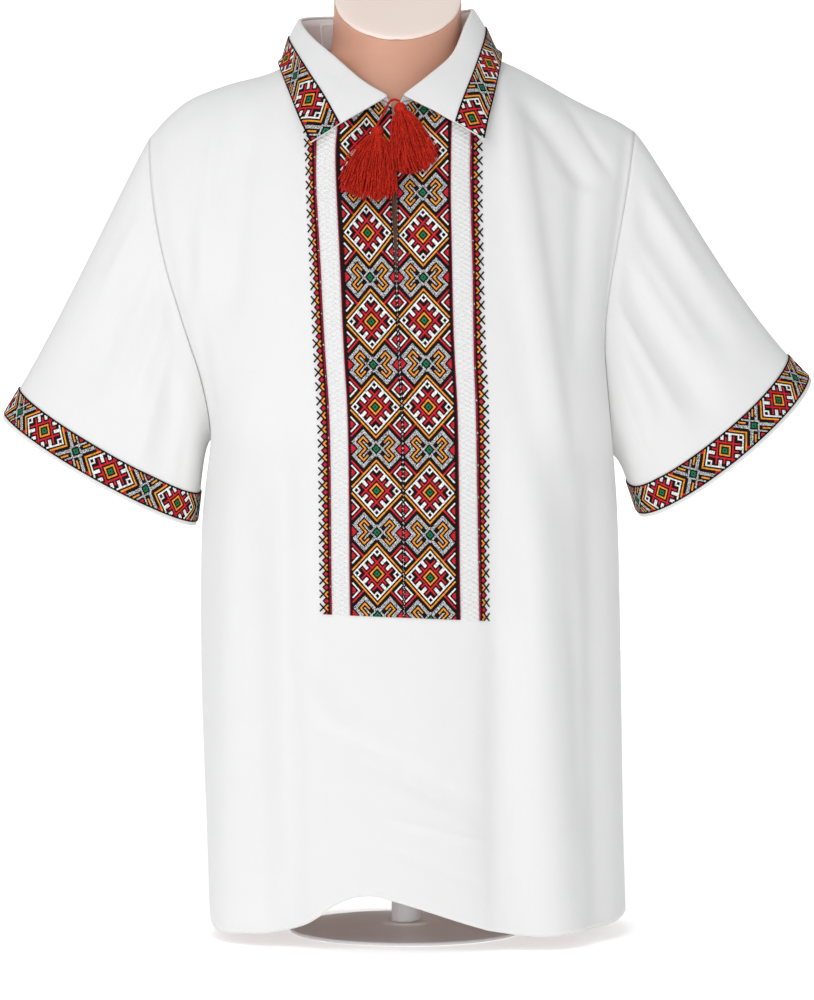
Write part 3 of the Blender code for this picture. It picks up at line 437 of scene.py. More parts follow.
def low_point(x, z, facing):
    """A point of the body below the armpits; facing is -1 for the front and 1 for the back."""
    left, right, front, back = smooth(BODY, z / MM) * MM
    across = (x - (left + right) / 2) / ((right - left) / 2)
    return Vector((x, facing * round_section(across, BODY_POWER) * (front if facing < 0 else back), z))


def side_x(forward, z, side):
    """Across, at a height, of the column that lies so far forward of the side seam."""
    left, right, front, back = smooth(BODY, z / MM) * MM
    return (left + right) / 2 + side * round_section(forward, BODY_POWER) * (right - left) / 2


def climb(height, depth, arch):
    """Shares of a column's rise, of its depth and of the armhole's swell, evenly along its curve."""
    up = 1 - (1 - np.linspace(0.0, 1.0, CLIMB_POINTS)) ** 3
    rounded = (1 - up ** SHOULDER_POWER) ** (1 / SHOULDER_POWER)
    inward = arch * rounded + (1 - arch) * (1 - up ** THROAT_POWER)
    steps = np.hypot(np.diff(up) * height, np.diff(inward) * depth)
    run = np.concatenate(([0.0], np.cumsum(steps)))
    shares = np.array(ROWS_TO_SHOULDER) * run[-1]
    swell = rounded * (1 - (1 - up) ** 3) ** 0.6
    return (np.interp(shares, run, values) for values in (up, inward, swell))


def high_rows(x_low, top, edge, side, facing):
    """A column's points from the armpits to the shoulder or neckline; edge is 1 at the armhole."""
    low = low_point(x_low, arm_level(x_low), facing)
    arch = 1 - ramp(abs(top.y), SHOULDER_DEPTH, THROAT_DEPTH if facing < 0 else NAPE_DEPTH)
    seam = ARMHOLE_LEFT if side < 0 else ARMHOLE_RIGHT
    pit, tip = seam[0].across * MM, seam[-1].across * MM
    swell = ARMHOLE_SWELL * edge ** 1.5
    points = []
    for up, inward, out in zip(*climb(top.z - low.z, abs(top.y - low.y) + swell, arch)):
        z = low.z + (top.z - low.z) * up
        x = x_low + (top.x - x_low) * up
        x += (smooth(seam, z / MM)[0] * MM - (pit + (tip - pit) * up)) * edge ** 2
        points.append(Vector((x, top.y + (low.y - top.y) * inward + facing * swell * out, z)))
    return points


def neck_top(x, facing, side):
    """The point of the neckline where it lies so far across."""
    in_front = NECK_FRONT_LEFT if side < 0 else NECK_FRONT_RIGHT
    y, z = smooth(NECK_BACK if facing > 0 else in_front, x / MM) * MM
    return Vector((x, y, z))


def rows_of_column(x_at, top, edge, side, facing):
    """One column of a body panel, from hem to shoulder or neckline."""
    hem = smooth(FRONT_HEM if facing < 0 else BACK_HEM, x_at(HEM_LEVEL) / MM)[0] * MM
    foot = BAND_FOOT + arm_level(x_at(BAND_FOOT)) - ARM_LEVEL
    armpit = arm_level(x_at(ARM_LEVEL))
    heights = [hem + (foot - hem) * share for share in ROWS_BELOW_BANDS]
    heights += [foot + (armpit - foot) * share for share in ROWS_TO_ARMPIT]
    low = [low_point(x_at(z), z, facing) for z in heights]
    return low + high_rows(x_at(armpit), top, edge, side, facing)


def side_columns(side, facing):
    """The columns from beside the bands to the side seam and armhole."""
    neck_x = (NECK_BACK[0] if side < 0 else NECK_BACK[-1]).x * MM
    tip_x = (SHOULDER_LEFT[0] if side < 0 else SHOULDER_RIGHT[-1]).x * MM
    columns = []
    for forward, along in zip(SIDE_FORWARD, SIDE_SHOULDER):
        x = neck_x + (tip_x - neck_x) * along
        top = Vector((x, 0.0, smooth(SHOULDER_LEFT if side < 0 else SHOULDER_RIGHT, x / MM)[0] * MM))
        edge = round_section(forward, BODY_POWER) ** 2 * along
        columns.append(rows_of_column(lambda z, f=forward: side_x(f, z, side), top, edge, side, facing))
    return columns


def column_line(column, z):
    """Across, at a height, of one of the band's edges or of the marks between them."""
    distances = np.array(column[1:5], float)
    return (smooth(SLIT_LINE, z / MM)[0] + spline(distances, COLUMN_HEIGHTS, [z / MM])[0]) * MM


def front_half(side):
    """The front's columns from the slit to the side seam."""
    columns = []
    for column in COLUMNS_LEFT if side < 0 else COLUMNS_RIGHT:
        top = neck_top(column.neck * MM, -1, side)
        points = rows_of_column(lambda z, c=column: column_line(c, z), top, 0.0, side, -1)
        opens = SLIT_HALF_GAP if column.name == "slit" else 0.0
        for point in points:
            gap = ramp(point.z, SLIT_FOOT, SLIT_WIDE_AT) ** 0.6 * opens
            line = column_line(column, point.z) + side * gap
            point.x = line + (point.x - line) * ramp(point.z, NECK_FROM, NECK_TO)
        columns.append(points)
    return columns + side_columns(side, -1)


def keys_of(grid):
    """Mean distances between a grid's columns and between its rows, added up."""
    across = np.linalg.norm(np.diff(grid[..., :3], axis=0), axis=2).mean(axis=1)
    up = np.linalg.norm(np.diff(grid[..., :3], axis=1), axis=2).mean(axis=0)
    return np.concatenate(([0.0], np.cumsum(across))), np.concatenate(([0.0], np.cumsum(up)))


def metres_at(keys, places):
    """Distances from the first column or row of places given in columns or rows."""
    return np.interp(places, np.arange(len(keys)), keys)


def place_at(keys, metres):
    """Places, in columns or rows, at distances from the first column or row."""
    return np.interp(metres, keys, np.arange(len(keys)))


def read_at(grid, column_places, row_places):
    """A grid read at places given in columns and in rows, such as 2.5 for halfway between 2 and 3."""
    across, up = keys_of(grid)
    read = np.swapaxes(spline(grid, across, metres_at(across, column_places)), 0, 1)
    return np.swapaxes(spline(read, up, metres_at(up, row_places)), 0, 1)


def even_places(keys, first, last, count):
    """So many evenly spaced places between two columns or rows."""
    low, high = metres_at(keys, [first, last])
    return place_at(keys, np.linspace(low, high, count))


def steps(keys, first, last, pitch):
    """Even steps of about a pitch in metres between two columns or rows, given in columns or rows."""
    low, high = metres_at(keys, [first, last])
    return even_places(keys, first, last, max(int(round((high - low) / pitch)), 1) + 1)


def outward(grid):
    """The unit direction out of the cloth at each point of a grid."""
    across, up = np.gradient(grid[..., :3], axis=0), np.gradient(grid[..., :3], axis=1)
    normal = np.cross(across, up)
    return normal / np.maximum(np.linalg.norm(normal, axis=2), 1e-12)[..., None]


def relief(folds, x, z):
    """How far all folds together move the cloth at places of the front view."""
    total = np.zeros_like(x)
    for fold in folds:
        along = (fold.top_z * MM - z) / ((fold.top_z - fold.foot_z) * MM)
        fade = ramp(along, *FOLD_BEGINS) * (1 - ramp(along, *FOLD_ENDS))
        centre = (fold.top_x + (fold.foot_x - fold.top_x) * along) * MM
        total += fold.depth * MM * fade * np.exp(-(((x - centre) / (fold.width * MM)) ** 2))
    return total


def sheet_faces(columns, rows, slit=None):
    """Faces of a grid, from column to column, but not across the slit."""
    return [(c * rows + r, (c + 1) * rows + r, (c + 1) * rows + r + 1, c * rows + r + 1)
            for c in range(columns - 1) if c != slit for r in range(rows - 1)]


def cloth(name, grid, wall, finish, slit=None):
    """A thin wall of cloth on a grid of outer points, with its own measure in metres as the UV map.

    slit is the column before a slit, whose edges are one where they touch.
    """
    faces = sheet_faces(*grid.shape[:2], slit)
    made = piece(name, grid[..., :3].reshape(-1, 3) + np.array(SHIRT_MIDDLE), faces, [finish])
    across, up = keys_of(grid)
    u, v = np.meshgrid(across, up, indexing="ij")
    measure = np.stack([u.ravel(), v.ravel()], axis=1)
    corners = np.zeros(len(made.data.loops), dtype=np.int32)
    made.data.loops.foreach_get("vertex_index", corners)
    made.data.uv_layers.new(name="cut").data.foreach_set("uv", measure[corners].ravel())
    if slit is not None:
        weld = made.modifiers.new("weld", "WELD")
        weld.merge_threshold = WELD_SEAMS
    thick = made.modifiers.new("wall", "SOLIDIFY")
    thick.thickness = wall
    thick.offset = -1.0
    return made


def cotton_material(name):
    """White cotton: a fine plain weave and soft crumples, both as bump."""
    finish = plain_material(name, COTTON_WHITE, roughness=0.85, sheen=0.10)
    nodes, links = finish.node_tree.nodes, finish.node_tree.links
    measure = nodes.new("ShaderNodeUVMap")
    measure.uv_map = "cut"
    weave = []
    for direction in ("X", "Y"):
        threads = nodes.new("ShaderNodeTexWave")
        threads.bands_direction = direction
        threads.inputs["Scale"].default_value = WEAVE_FINENESS
        threads.inputs["Distortion"].default_value = WEAVE_WAVER
        links.new(measure.outputs["UV"], threads.inputs["Vector"])
        weave.append(threads)
    woven = nodes.new("ShaderNodeMath")
    woven.operation = "MULTIPLY"
    for threads, factor in zip(weave, woven.inputs):
        links.new(threads.outputs["Fac"], factor)
    bumped(finish, uneven(finish, CRUMPLES, detail=3.0, roughness=0.45), strength=0.35, depth=0.004)
    bumped(finish, woven.outputs["Value"], strength=0.25, depth=0.0002)
    return finish


CALM_RISE = (0.80, 0.97)        # the folds die out between these parts of the rise above the armpits
BANDS_MIDDLE, BANDS_SIDE = -0.006, (0.088, 0.112)   # the creases begin this far beside the bands' middle
BELOW_BANDS = (-0.045, -0.015)                      # and this far below their foot
# Creases finer than the folds, on the open cloth alone.
FRONT_CREASES = table(
    Fold,
    (-162, 790, -172, 690, 7, -2.4), (-176, 760, -196, 560, 8, 2.2), (-130, 330, -128, 60, 9, 3),
    (92, 330, 100, 60, 9, -3), (140, 785, 182, 715, 6, -2.5), (104, 740, 140, 470, 8, 3),
    (-40, 170, 60, 118, 11, -0.9), (-15, 118, 70, 96, 10, 0.8), (-10, 90, 55, 62, 10, -0.7),
    (-112, 260, -60, 200, 12, 1.6), (150, 300, 156, 130, 9, -3), (60, 200, 44, 60, 16, 1.2),
)


def calm(row_places):
    """How much of the folds is left at places given in rows: they end below the shoulder and the neck."""
    rise = np.interp(row_places, np.arange(pit_row, top_row + 1), [0.0] + ROWS_TO_SHOULDER)
    return 1 - ramp(rise, *CALM_RISE)


def front_relief(grid, row_places, from_seam, creased):
    """Adds the folds, and on the open cloth the finer creases, to a grid of the front.

    from_seam is how far each of the grid's columns lies from the side seam.
    """
    x, z = grid[..., 0], grid[..., 2]
    move = relief(FRONT_FOLDS, x, z)
    if creased:
        beside = ramp(np.abs(x - BANDS_MIDDLE), *BANDS_SIDE)
        below = 1 - ramp(z, BAND_FOOT + BELOW_BANDS[0], BAND_FOOT + BELOW_BANDS[1])
        move = move + relief(FRONT_CREASES, x, z) * np.maximum(beside, below)
    held = ramp(from_seam, *SEAM_FADE)[:, None] * calm(row_places)
    return grid + outward(grid) * (move * held)[..., None]


white_cotton = cotton_material("white_cotton")
halves = {side: np.array(front_half(side), float) for side in (-1, 1)}
for side, half in halves.items():
    half[-1] += unit(half[-2] - half[-1]) * EDGE_GAP
front_coarse = np.concatenate([halves[-1][::-1], halves[1]])
band_row = len(ROWS_BELOW_BANDS) - 1
pit_row = band_row + len(ROWS_TO_ARMPIT)
top_row = pit_row + len(ROWS_TO_SHOULDER)
up_keys = keys_of(front_coarse)[1]
front_rows = steps(up_keys, 0, top_row, CLOTH_PITCH)
front_parts = []
for side in (-1, 1):
    front_columns = steps(keys_of(halves[side])[0], 0, len(halves[side]) - 1, CLOTH_PITCH)
    part = read_at(halves[side], front_columns, front_rows)
    part[0, :, 0] += side * SLIT_TURN * ramp(part[0, :, 2], SLIT_FOOT, SLIT_FOOT + SLIT_TURN_RISE)
    run = keys_of(part)[0]
    part = front_relief(part[::side], front_rows, (run[-1] - run)[::side], True)
    front_parts.append(part)
meeting = (front_parts[0][-1] + front_parts[1][0]) / 2
below = meeting[:, 2] < SLIT_FOOT
front_parts[0][-1, below] = meeting[below]
front_parts[1][0, below] = meeting[below]
front_grid = np.concatenate(front_parts)
front = cloth("front", front_grid, CLOTH, white_cotton, slit=len(front_parts[0]) - 1)
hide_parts("front_panel")

# ---- Placket, openwork and borders ---------------------------------------------------------------
# A strip of black cotton covered in cross-stitch is sewn down each side of the slit. Beside it runs
# a strip of white drawn-thread openwork, and beside that a narrow stitched border with open crosses.

BAND_WALL = 0.0006
BAND_LIFT = 0.0009          # from a panel's outer face to that of a band on it
BAND_SET_IN = 0.0004
CELL_ACROSS = 0.0009535     # half the pitch of the cross-stitches across the placket
PLACKET_HALF = 25           # cells from the middle of the placket's pattern to its edges
EDGE_LINE = 0.0011          # width of the crimson line along a placket's outer edge
EDGE_SPARE = 0.2            # cells at least between that line and the pattern
# Half the pitch of the stitches up each band, by height: the cloth is stretched a little unevenly.
Pitch = namedtuple("Pitch", "height left right")
PLACKET_PITCH = table(
    Pitch,
    (330, 1.036, 1.052), (450, 1.045, 1.060), (525, 1.068, 1.080), (600, 1.125, 1.072),
)
BORDER_PITCH = table(Pitch, (330, 1.010, 1.095), (500, 1.090, 1.105), (700, 1.100, 1.100))
BORDER_WIDE = 12
BORDER_REPEAT = 12
LEVEL_PITCH = 0.0015        # spacing of the points that the level rows are read from
LEVEL_ABOVE = 0.30          # the rows follow the bands' slanting foot, and lie level this far above it
STITCH_HIGH, STITCH_LOW, STITCH_EDGE = 0.00034, 0.00004, -0.0001
OPENWORK_MESH, OPENWORK_GAP = 0.00055, 0.03     # the gap to its neighbours is a part of its width
OPENWORK_HOLE = (0.0085, 0.00447)    # the openwork's lattice: width and height of two holes
OPENWORK_RELIEF = 0.0013
OPENWORK_DEEP = 0.62                 # the threads between lie in shade past this share of the relief

THREADS = {
    "black": (0.007, 0.003, 0.003), "red": (0.66, 0.016, 0.030), "crimson": (0.42, 0.008, 0.050),
    "orange": (0.90, 0.33, 0.032), "green": (0.006, 0.20, 0.075), "white": (0.86, 0.86, 0.85),
    "silver": (0.74, 0.74, 0.76),
}
COLOURS = list(THREADS)

# The chart. Along the band n runs from star (0) to knot (36) and back, and m from the middle to the
# side; a and b count the diagonal rows. The star's patches are in rings about it, first and last.
REPEAT = 72
KNOT = 18
Patch = namedtuple("Patch", "colour low_a high_a low_b high_b")
STAR = table(
    Patch,
    ("black", 0, 0, 0, 0), ("green", 1, 1, 0, 1), ("black", 2, 2, 0, 2), ("orange", 3, 3, 0, 3),
    ("black", 4, 4, 0, 4), ("red", 5, 5, 0, 5), ("orange", 13, 13, 0, 13), ("black", 12, 12, 0, 12),
    ("white", 11, 11, 0, 11), ("black", 9, 10, 9, 10), ("white", 8, 10, 8, 8), ("red", 6, 9, 5, 5),
    ("red", 6, 8, 0, 0), ("white", 7, 10, 2, 3), ("black", 6, 10, 0, 10),
)
HOOKS = table(
    Patch,
    ("black", 0, 0, 0, 0), ("green", -1, 1, 0, 1), ("black", -2, 2, 2, 2), ("silver", -3, 3, 3, 3),
    ("silver", 1, 2, 3, 14), ("silver", -8, 2, 13, 14), ("silver", -8, -7, 7, 14),
    ("silver", -3, -3, 3, 9), ("orange", -1, -1, 7, 11), ("orange", -5, -1, 11, 11),
    ("orange", -5, -5, 5, 11),
)
RAY = table(Patch, ("red", 14, 25, 1, 1))
Diamond = namedtuple("Diamond", "a b rings")
DIAMONDS = table(
    Diamond,
    (20, -5, ["black", "red", "red", "black", "white", "black"]),
    (30.5, 5.5, ["black", "red", "red", "black"]),
)


def patch_at(patches, a, b):
    """The colour of the first patch that covers a place on the chart."""
    for patch in patches:
        if patch.low_a <= a <= patch.high_a and patch.low_b <= b <= patch.high_b:
            return patch.colour
    return None


def off_repeat(n, repeat):
    """How far n lies from the nearest start of a repeat."""
    return abs((n + repeat // 2) % repeat - repeat // 2)


def star_and_knot(m, n, hooks, rays, diamonds):
    """The thread of one cross-stitch of the broad pattern, or of its narrow form on cuffs and collar."""
    along, side = off_repeat(n, REPEAT), abs(m)
    a, b = (along + side) // 2, (along - side) // 2
    found = patch_at(STAR, max(abs(a), abs(b)), min(abs(a), abs(b)))
    for diamond in diamonds:
        ring = int(max(abs(a - diamond.a), abs(b - diamond.b)))
        if found is None and ring < len(diamond.rings):
            found = diamond.rings[ring]
    return found or patch_at(hooks, KNOT - a, KNOT - b) or patch_at(rays, a, b) or "black"


def placket_thread(m, n):
    """The placket's pattern, with a crimson line outside and a line of light specks at the slit."""
    if m > PLACKET_HALF + 1:
        return "crimson"
    if m < 1 - PLACKET_HALF:
        return "silver" if n % 4 == 1 else "black"
    if m > PLACKET_HALF - 2 or m == 1 - PLACKET_HALF:
        return "black"
    return star_and_knot(m, n, HOOKS, RAY, DIAMONDS)


def placket_places(width):
    """Distances from the slit of the columns of stitches, the crimson line's last."""
    cell = min(CELL_ACROSS, (width - EDGE_LINE) / (2 * PLACKET_HALF + EDGE_SPARE))
    line = width - np.array([1.0, 0.5, 0.0]) * EDGE_LINE
    return np.concatenate([np.arange(2 * PLACKET_HALF + 1) * cell, line])


def border_places(width):
    """Distances of the border's columns of stitches from its inner edge."""
    return np.linspace(0.0, width, BORDER_WIDE + 1)


def border_thread(m, n):
    """The narrow border: a crimson line, then chevrons and small diamonds; None leaves the cloth bare."""
    along, out = off_repeat(n, BORDER_REPEAT), m - 2
    from_diamond = abs(out - 3) + BORDER_REPEAT // 2 - along
    if out < 0:
        return "silver" if (5 * n + m) % 13 == 0 else "crimson"
    if from_diamond <= 1:
        return "red"
    if out + along == 4 and along <= 2:
        return "orange"
    crossed = out - along in (6, 7) and along <= 3
    return "black" if crossed or out + along <= 6 or from_diamond <= 3 or out <= 1 else None


def thread_material(name, colour, shade=0.55, shade_from=0.34, shade_to=0.52, fineness=620.0):
    """Cotton floss: the dye is a little uneven from stitch to stitch and the fibres run across."""
    finish = plain_material(name, colour, roughness=0.75, shine=0.15)
    fibres = uneven(finish, fineness, detail=2.0)
    dyed(finish, fibres, shade_from, [shade * value for value in colour], shade_to, colour)
    bumped(finish, fibres, strength=0.4, depth=0.0002)
    return finish


def stitched(name, grid, out, m, n, thread_at, kept=True):
    """Cross-stitches over points one cell apart and their outward directions, each a small raised diamond.

    Colours are asked for by cell, and kept says which cells there are.
    """
    even = (m + n) % 2 == 0
    raised = np.where(even, STITCH_HIGH, STITCH_LOW)
    raised[[0, -1]] = STITCH_EDGE
    raised[:, [0, -1]] = STITCH_EDGE
    points = (grid + out * raised[..., None]).reshape(-1, 3)
    cells = [thread_at(int(a), int(b)) for a, b in zip(m.ravel(), n.ravel())]
    colours = np.array([-1 if cell is None else COLOURS.index(cell) for cell in cells])
    colours[~np.broadcast_to(kept, m.shape).ravel()] = -1
    places = np.arange(m.size).reshape(m.shape)
    low, right = places[:-1, :-1], places[1:, :-1]
    top, left = places[1:, 1:], places[:-1, 1:]
    even = even[:-1, :-1]
    first = np.where(even[..., None], np.stack([low, right, left], 2), np.stack([low, right, top], 2))
    other = np.where(even[..., None], np.stack([right, top, left], 2), np.stack([low, top, left], 2))
    middles = [np.where(even, low, right).ravel(), np.where(even, top, left).ravel()]
    faces = np.concatenate([first.reshape(-1, 3), other.reshape(-1, 3)])
    found = colours[np.concatenate(middles)]
    faces, found = faces[found >= 0], found[found >= 0]
    used, faces = np.unique(faces, return_inverse=True)
    points, faces = points[used] + np.array(SHIRT_MIDDLE), faces.reshape(-1, 3).tolist()
    return piece(name, points, faces, [threads[colour] for colour in COLOURS], found)


def on_the_front(side, column_places, row_places):
    """A grid of the front's outer face with its folds; its columns run towards +X."""
    run = keys_of(halves[side])[0]
    from_seam = run[-1] - metres_at(run, column_places)
    grid = read_at(halves[side], column_places, row_places)[::side]
    return front_relief(grid, row_places, from_seam[::side], False)


def level_rows(side, first, last, high_row, pitches, places_of):
    """Points in level rows up the front, their outward directions, and which of them lie below the top.

    places_of gives the distances of a row's points from the band's inner edge for its width.
    """
    across, up = keys_of(halves[side])
    fine_rows = steps(up, band_row, high_row, LEVEL_PITCH)
    fine = on_the_front(side, steps(across, first, last, LEVEL_PITCH), fine_rows)
    read = np.concatenate([fine, outward(fine)], axis=2)[::side]
    rows = []
    for row in np.swapaxes(read, 0, 1):
        from_edge = np.abs(row[:, 0] - row[0, 0])
        places = places_of(from_edge[-1])
        rows.append([np.interp(places, from_edge, values) for values in row.T])
    read = np.transpose(np.array(rows), (2, 0, 1))[::side]
    risen = [0.0]
    marks, left, right = np.array(pitches, float).T * MM
    while BAND_FOOT + risen[-1] < read[:, -1, 2].max():
        risen.append(risen[-1] + np.interp(BAND_FOOT + risen[-1], marks, left if side < 0 else right))
    risen = np.array(risen)
    columns, kept = [], []
    for column in read:
        heights = np.maximum.accumulate(column[:, 2]) + np.arange(len(column)) * 1e-9
        levels = BAND_FOOT + risen + (heights[0] - BAND_FOOT) * (1 - ramp(risen, 0.0, LEVEL_ABOVE))
        columns.append(np.stack([np.interp(levels, heights, values) for values in column.T], axis=1))
        kept.append(levels < heights[-1])
    columns = np.array(columns)
    return columns[..., :3], unit(columns[..., 3:]), np.array(kept)


threads = {colour: thread_material("thread_" + colour, value) for colour, value in THREADS.items()}
threads["silver"] = thread_material("thread_speckled", THREADS["silver"], shade=0.05, shade_from=0.45,
                                    shade_to=0.55, fineness=1500.0)
black_cotton = thread_material("black_cotton", (0.010, 0.009, 0.010))
white_openwork = cotton_material("white_openwork")
openwork_shade = thread_material("openwork_shade", (0.52, 0.52, 0.51), shade=0.8)


def strip(name, side, first, last, high_row, finish):
    """The plain cotton strip under a band's stitches."""
    across, up = keys_of(halves[side])
    low, high = metres_at(across, [first, last]) + np.array([BAND_SET_IN, -BAND_SET_IN])
    columns = place_at(across, np.linspace(low, high, int((high - low) / CLOTH_PITCH) + 2))
    grid = on_the_front(side, columns, steps(up, band_row, high_row, CLOTH_PITCH))
    made = cloth(name, grid + outward(grid) * BAND_LIFT, BAND_WALL, finish)
    return made, grid


def band_of_stitches(name, side, rows_of_band, lift, thread_at, first_m, first_n):
    """A band's cross-stitches on its level rows; m numbers its columns outwards and n its rows upwards."""
    points, out, kept = rows_of_band
    m = np.arange(points.shape[0]) + first_m
    m, n = np.meshgrid(m[::side], np.arange(points.shape[1]) + first_n, indexing="ij")
    made = stitched(name, points + out * lift, out, m, n, thread_at, kept)
    return made


PLACKET_EDGE, OPENWORK_EDGE, BORDER_EDGE = 4, 5, 6      # columns of the halves where the bands end
BORDER_GROUND = 0.42                                     # part of the border that has a ground strip
STITCH_LIFT = BAND_LIFT + 0.00012   # the stitches' edges lie just off the strip
FIRST_STITCHES = {-1: 35, 1: 37}    # where the pattern stands at the bands' foot, in cells above a star
BORDER_FIRST_STITCHES = {-1: 6, 1: 9}
PLACKET_TOP, OPENWORK_TOP, BORDER_TOP = top_row - 1, top_row - 3, top_row - 4   # rows where they end
SIDES = {-1: "left", 1: "right"}
for side, word in SIDES.items():
    across, up = keys_of(halves[side])
    base, base_grid = strip("placket_" + word, side, 0, PLACKET_EDGE, PLACKET_TOP, black_cotton)
    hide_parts("placket_" + word)
    level = level_rows(side, 0, PLACKET_EDGE, PLACKET_TOP, PLACKET_PITCH, placket_places)
    stitches = band_of_stitches("placket_stitches_" + word, side, level, STITCH_LIFT, placket_thread,
                                -PLACKET_HALF, FIRST_STITCHES[side])

    columns = steps(across, PLACKET_EDGE + OPENWORK_GAP, OPENWORK_EDGE - OPENWORK_GAP, OPENWORK_MESH)
    grid = on_the_front(side, columns, steps(up, band_row, OPENWORK_TOP, OPENWORK_MESH))
    wide, high = OPENWORK_HOLE
    over, risen = (grid[..., 0] - grid[:1, :, 0]) / wide, grid[..., 2] / high
    threads_up = [np.abs(np.cos(math.pi * (over + way * risen))) for way in (-1, 1)]
    hollow = threads_up[0] * threads_up[1]
    lift = BAND_LIFT - hollow * OPENWORK_RELIEF
    openwork = cloth("openwork_" + word, grid + outward(grid) * lift[..., None], BAND_WALL, white_openwork)
    openwork.data.materials.append(openwork_shade)
    deep = (hollow[:-1, :-1] + hollow[1:, 1:]) / 2 > OPENWORK_DEEP
    openwork.data.polygons.foreach_set("material_index", deep.ravel().astype(np.int32))
    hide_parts("hemstitch_" + word)

    ground_edge = OPENWORK_EDGE + BORDER_GROUND
    base, base_grid = strip("border_" + word, side, OPENWORK_EDGE, ground_edge, BORDER_TOP, black_cotton)
    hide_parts("edge_band_" + word)
    level = level_rows(side, OPENWORK_EDGE, BORDER_EDGE, BORDER_TOP, BORDER_PITCH, border_places)
    stitches = band_of_stitches("border_stitches_" + word, side, level, BAND_LIFT, border_thread,
                                0, BORDER_FIRST_STITCHES[side])

# ---- Back ----------------------------------------------------------------------------------------
# The back is one plain panel of the same cotton, sewn to the front at the shoulders and down both
# sides. It hangs in a few soft upright folds, and its hem is turned up like the front's.

BACK_LOW_LEFT, BACK_LOW_RIGHT = -0.0788, 0.0743     # where its middle part ends, from hem to armpits
BACK_TOP_SHORT = 0.01                               # part of the last row left off, clear of the front
BACK_FOLDS = table(
    Fold,
    (-130, 460, -142, 15, 22, 10), (-88, 470, -80, 20, 18, -8), (-20, 520, -30, 15, 26, 7),
    (40, 500, 46, 20, 18, -7), (110, 450, 120, 15, 24, 10), (158, 420, 164, 20, 14, -7),
    (-120, 740, -150, 560, 14, -5), (110, 730, 150, 560, 14, -5),
)
BACK_CREASES = table(
    Fold,
    (-60, 700, -84, 470, 10, 2.2), (52, 690, 70, 480, 11, -2.4), (8, 640, -6, 420, 14, 1.8),
    (-160, 400, -166, 90, 10, -3), (84, 380, 92, 60, 12, 2.6), (10, 300, 4, 40, 14, -2.4),
)


def back_columns():
    """The back's columns from the left side seam to the right one."""
    middle = []
    for share in np.linspace(0.0, 1.0, BACK_COLUMNS + 1):
        neck_x = (NECK_BACK[0].x + (NECK_BACK[-1].x - NECK_BACK[0].x) * share) * MM
        x_low = BACK_LOW_LEFT + (BACK_LOW_RIGHT - BACK_LOW_LEFT) * share
        side = 1 if share > 0.5 else -1
        middle.append(rows_of_column(lambda z, x=x_low: x, neck_top(neck_x, 1, side), 0.0, side, 1))
    return side_columns(-1, 1)[::-1] + middle + side_columns(1, 1)


back_coarse = np.array(back_columns(), float)
for outer, inner in ((0, 1), (-1, -2)):
    back_coarse[outer] += unit(back_coarse[inner] - back_coarse[outer]) * EDGE_GAP
back_coarse[:, -1] += (back_coarse[:, -2] - back_coarse[:, -1]) * BACK_TOP_SHORT
back_coarse = back_coarse[::-1]
across, up = keys_of(back_coarse)
back_rows = steps(up, 0, top_row, CLOTH_PITCH)
back_grid = read_at(back_coarse, steps(across, 0, len(back_coarse) - 1, CLOTH_PITCH), back_rows)
run = keys_of(back_grid)[0]
held = ramp(np.minimum(run, run[-1] - run), *SEAM_FADE)[:, None] * calm(back_rows)
move = relief(BACK_FOLDS + BACK_CREASES, back_grid[..., 0], back_grid[..., 2]) * held
back_grid = back_grid + outward(back_grid) * move[..., None]
back = cloth("back", back_grid, CLOTH, white_cotton)
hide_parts("back_panel")

# ---- Sleeves and cuffs ---------------------------------------------------------------------------
# Each short, wide sleeve is set into its armhole and falls to an open cuff. A stitched band like the
# placket's runs round the cuff, a little above its narrow white hem, and meets under the arm.

SLEEVE_SET_OFF = 0.0001
CUFF_BAND_WIDTH, CUFF_HEM = 0.028, 0.0035
CUFF_HALF = 13              # cells from the middle of a cuff's or collar's band to its edge
CUFF_CELL = 0.00098         # their spacing along the band
CUFF_HOOKS = table(
    Patch,
    ("black", 0, 0, 0, 0), ("green", -1, 1, 0, 1), ("black", -2, 2, 2, 2), ("silver", -3, 3, 3, 3),
    ("silver", 1, 2, 3, 13), ("silver", -3, -3, 3, 9), ("orange", -1, -1, 6, 11), ("red", -6, -5, 5, 8),
)
CUFF_RAY = table(Patch, ("red", 14, 15, 2, 4))
SLEEVE_COLUMNS = 170
ARM_FREE_ROWS, ARM_BAND_ROWS = 56, 10
ARM_LINE_POINTS = 61
CUFF_BAND_INSET, CUFF_BAND_ROW_INSET = 0.0012, 0.1      # the last is in rows across the band

Cuff = namedtuple("Cuff", "outer_x outer_z inner_x inner_z dip depth sag first_stitch")
CUFFS = {
    -1: Cuff(-380, 481, -198, 380, 14, 36, 8, 26), 1: Cuff(380, 516, 217, 391, 25, 36, 20, 32),
}
DIP_BEHIND = 0.3                        # part of a cuff's dip that it has behind
LEAVE_SHARE, FALL_SHARE = 0.12, 0.33    # parts of the way that keep the armhole's and the cuff's course
LEAVE_PUSH, UNDER_EASE = 10, 3          # mm that it runs on in the panel's direction, less under the arm
ARM_FULLNESS = 0.16                     # how much deeper the arm makes it halfway
FADE_BEFORE, FADE_WITHIN = 0.05, 0.2    # a fold fades over these parts of the sleeve's length at each end
MM_A_DEGREE = 1.3                       # how much of a fold's width a degree round the arm takes up
ARMHOLE_CALM = (0.02, 0.12)             # all folds begin between these parts of its length
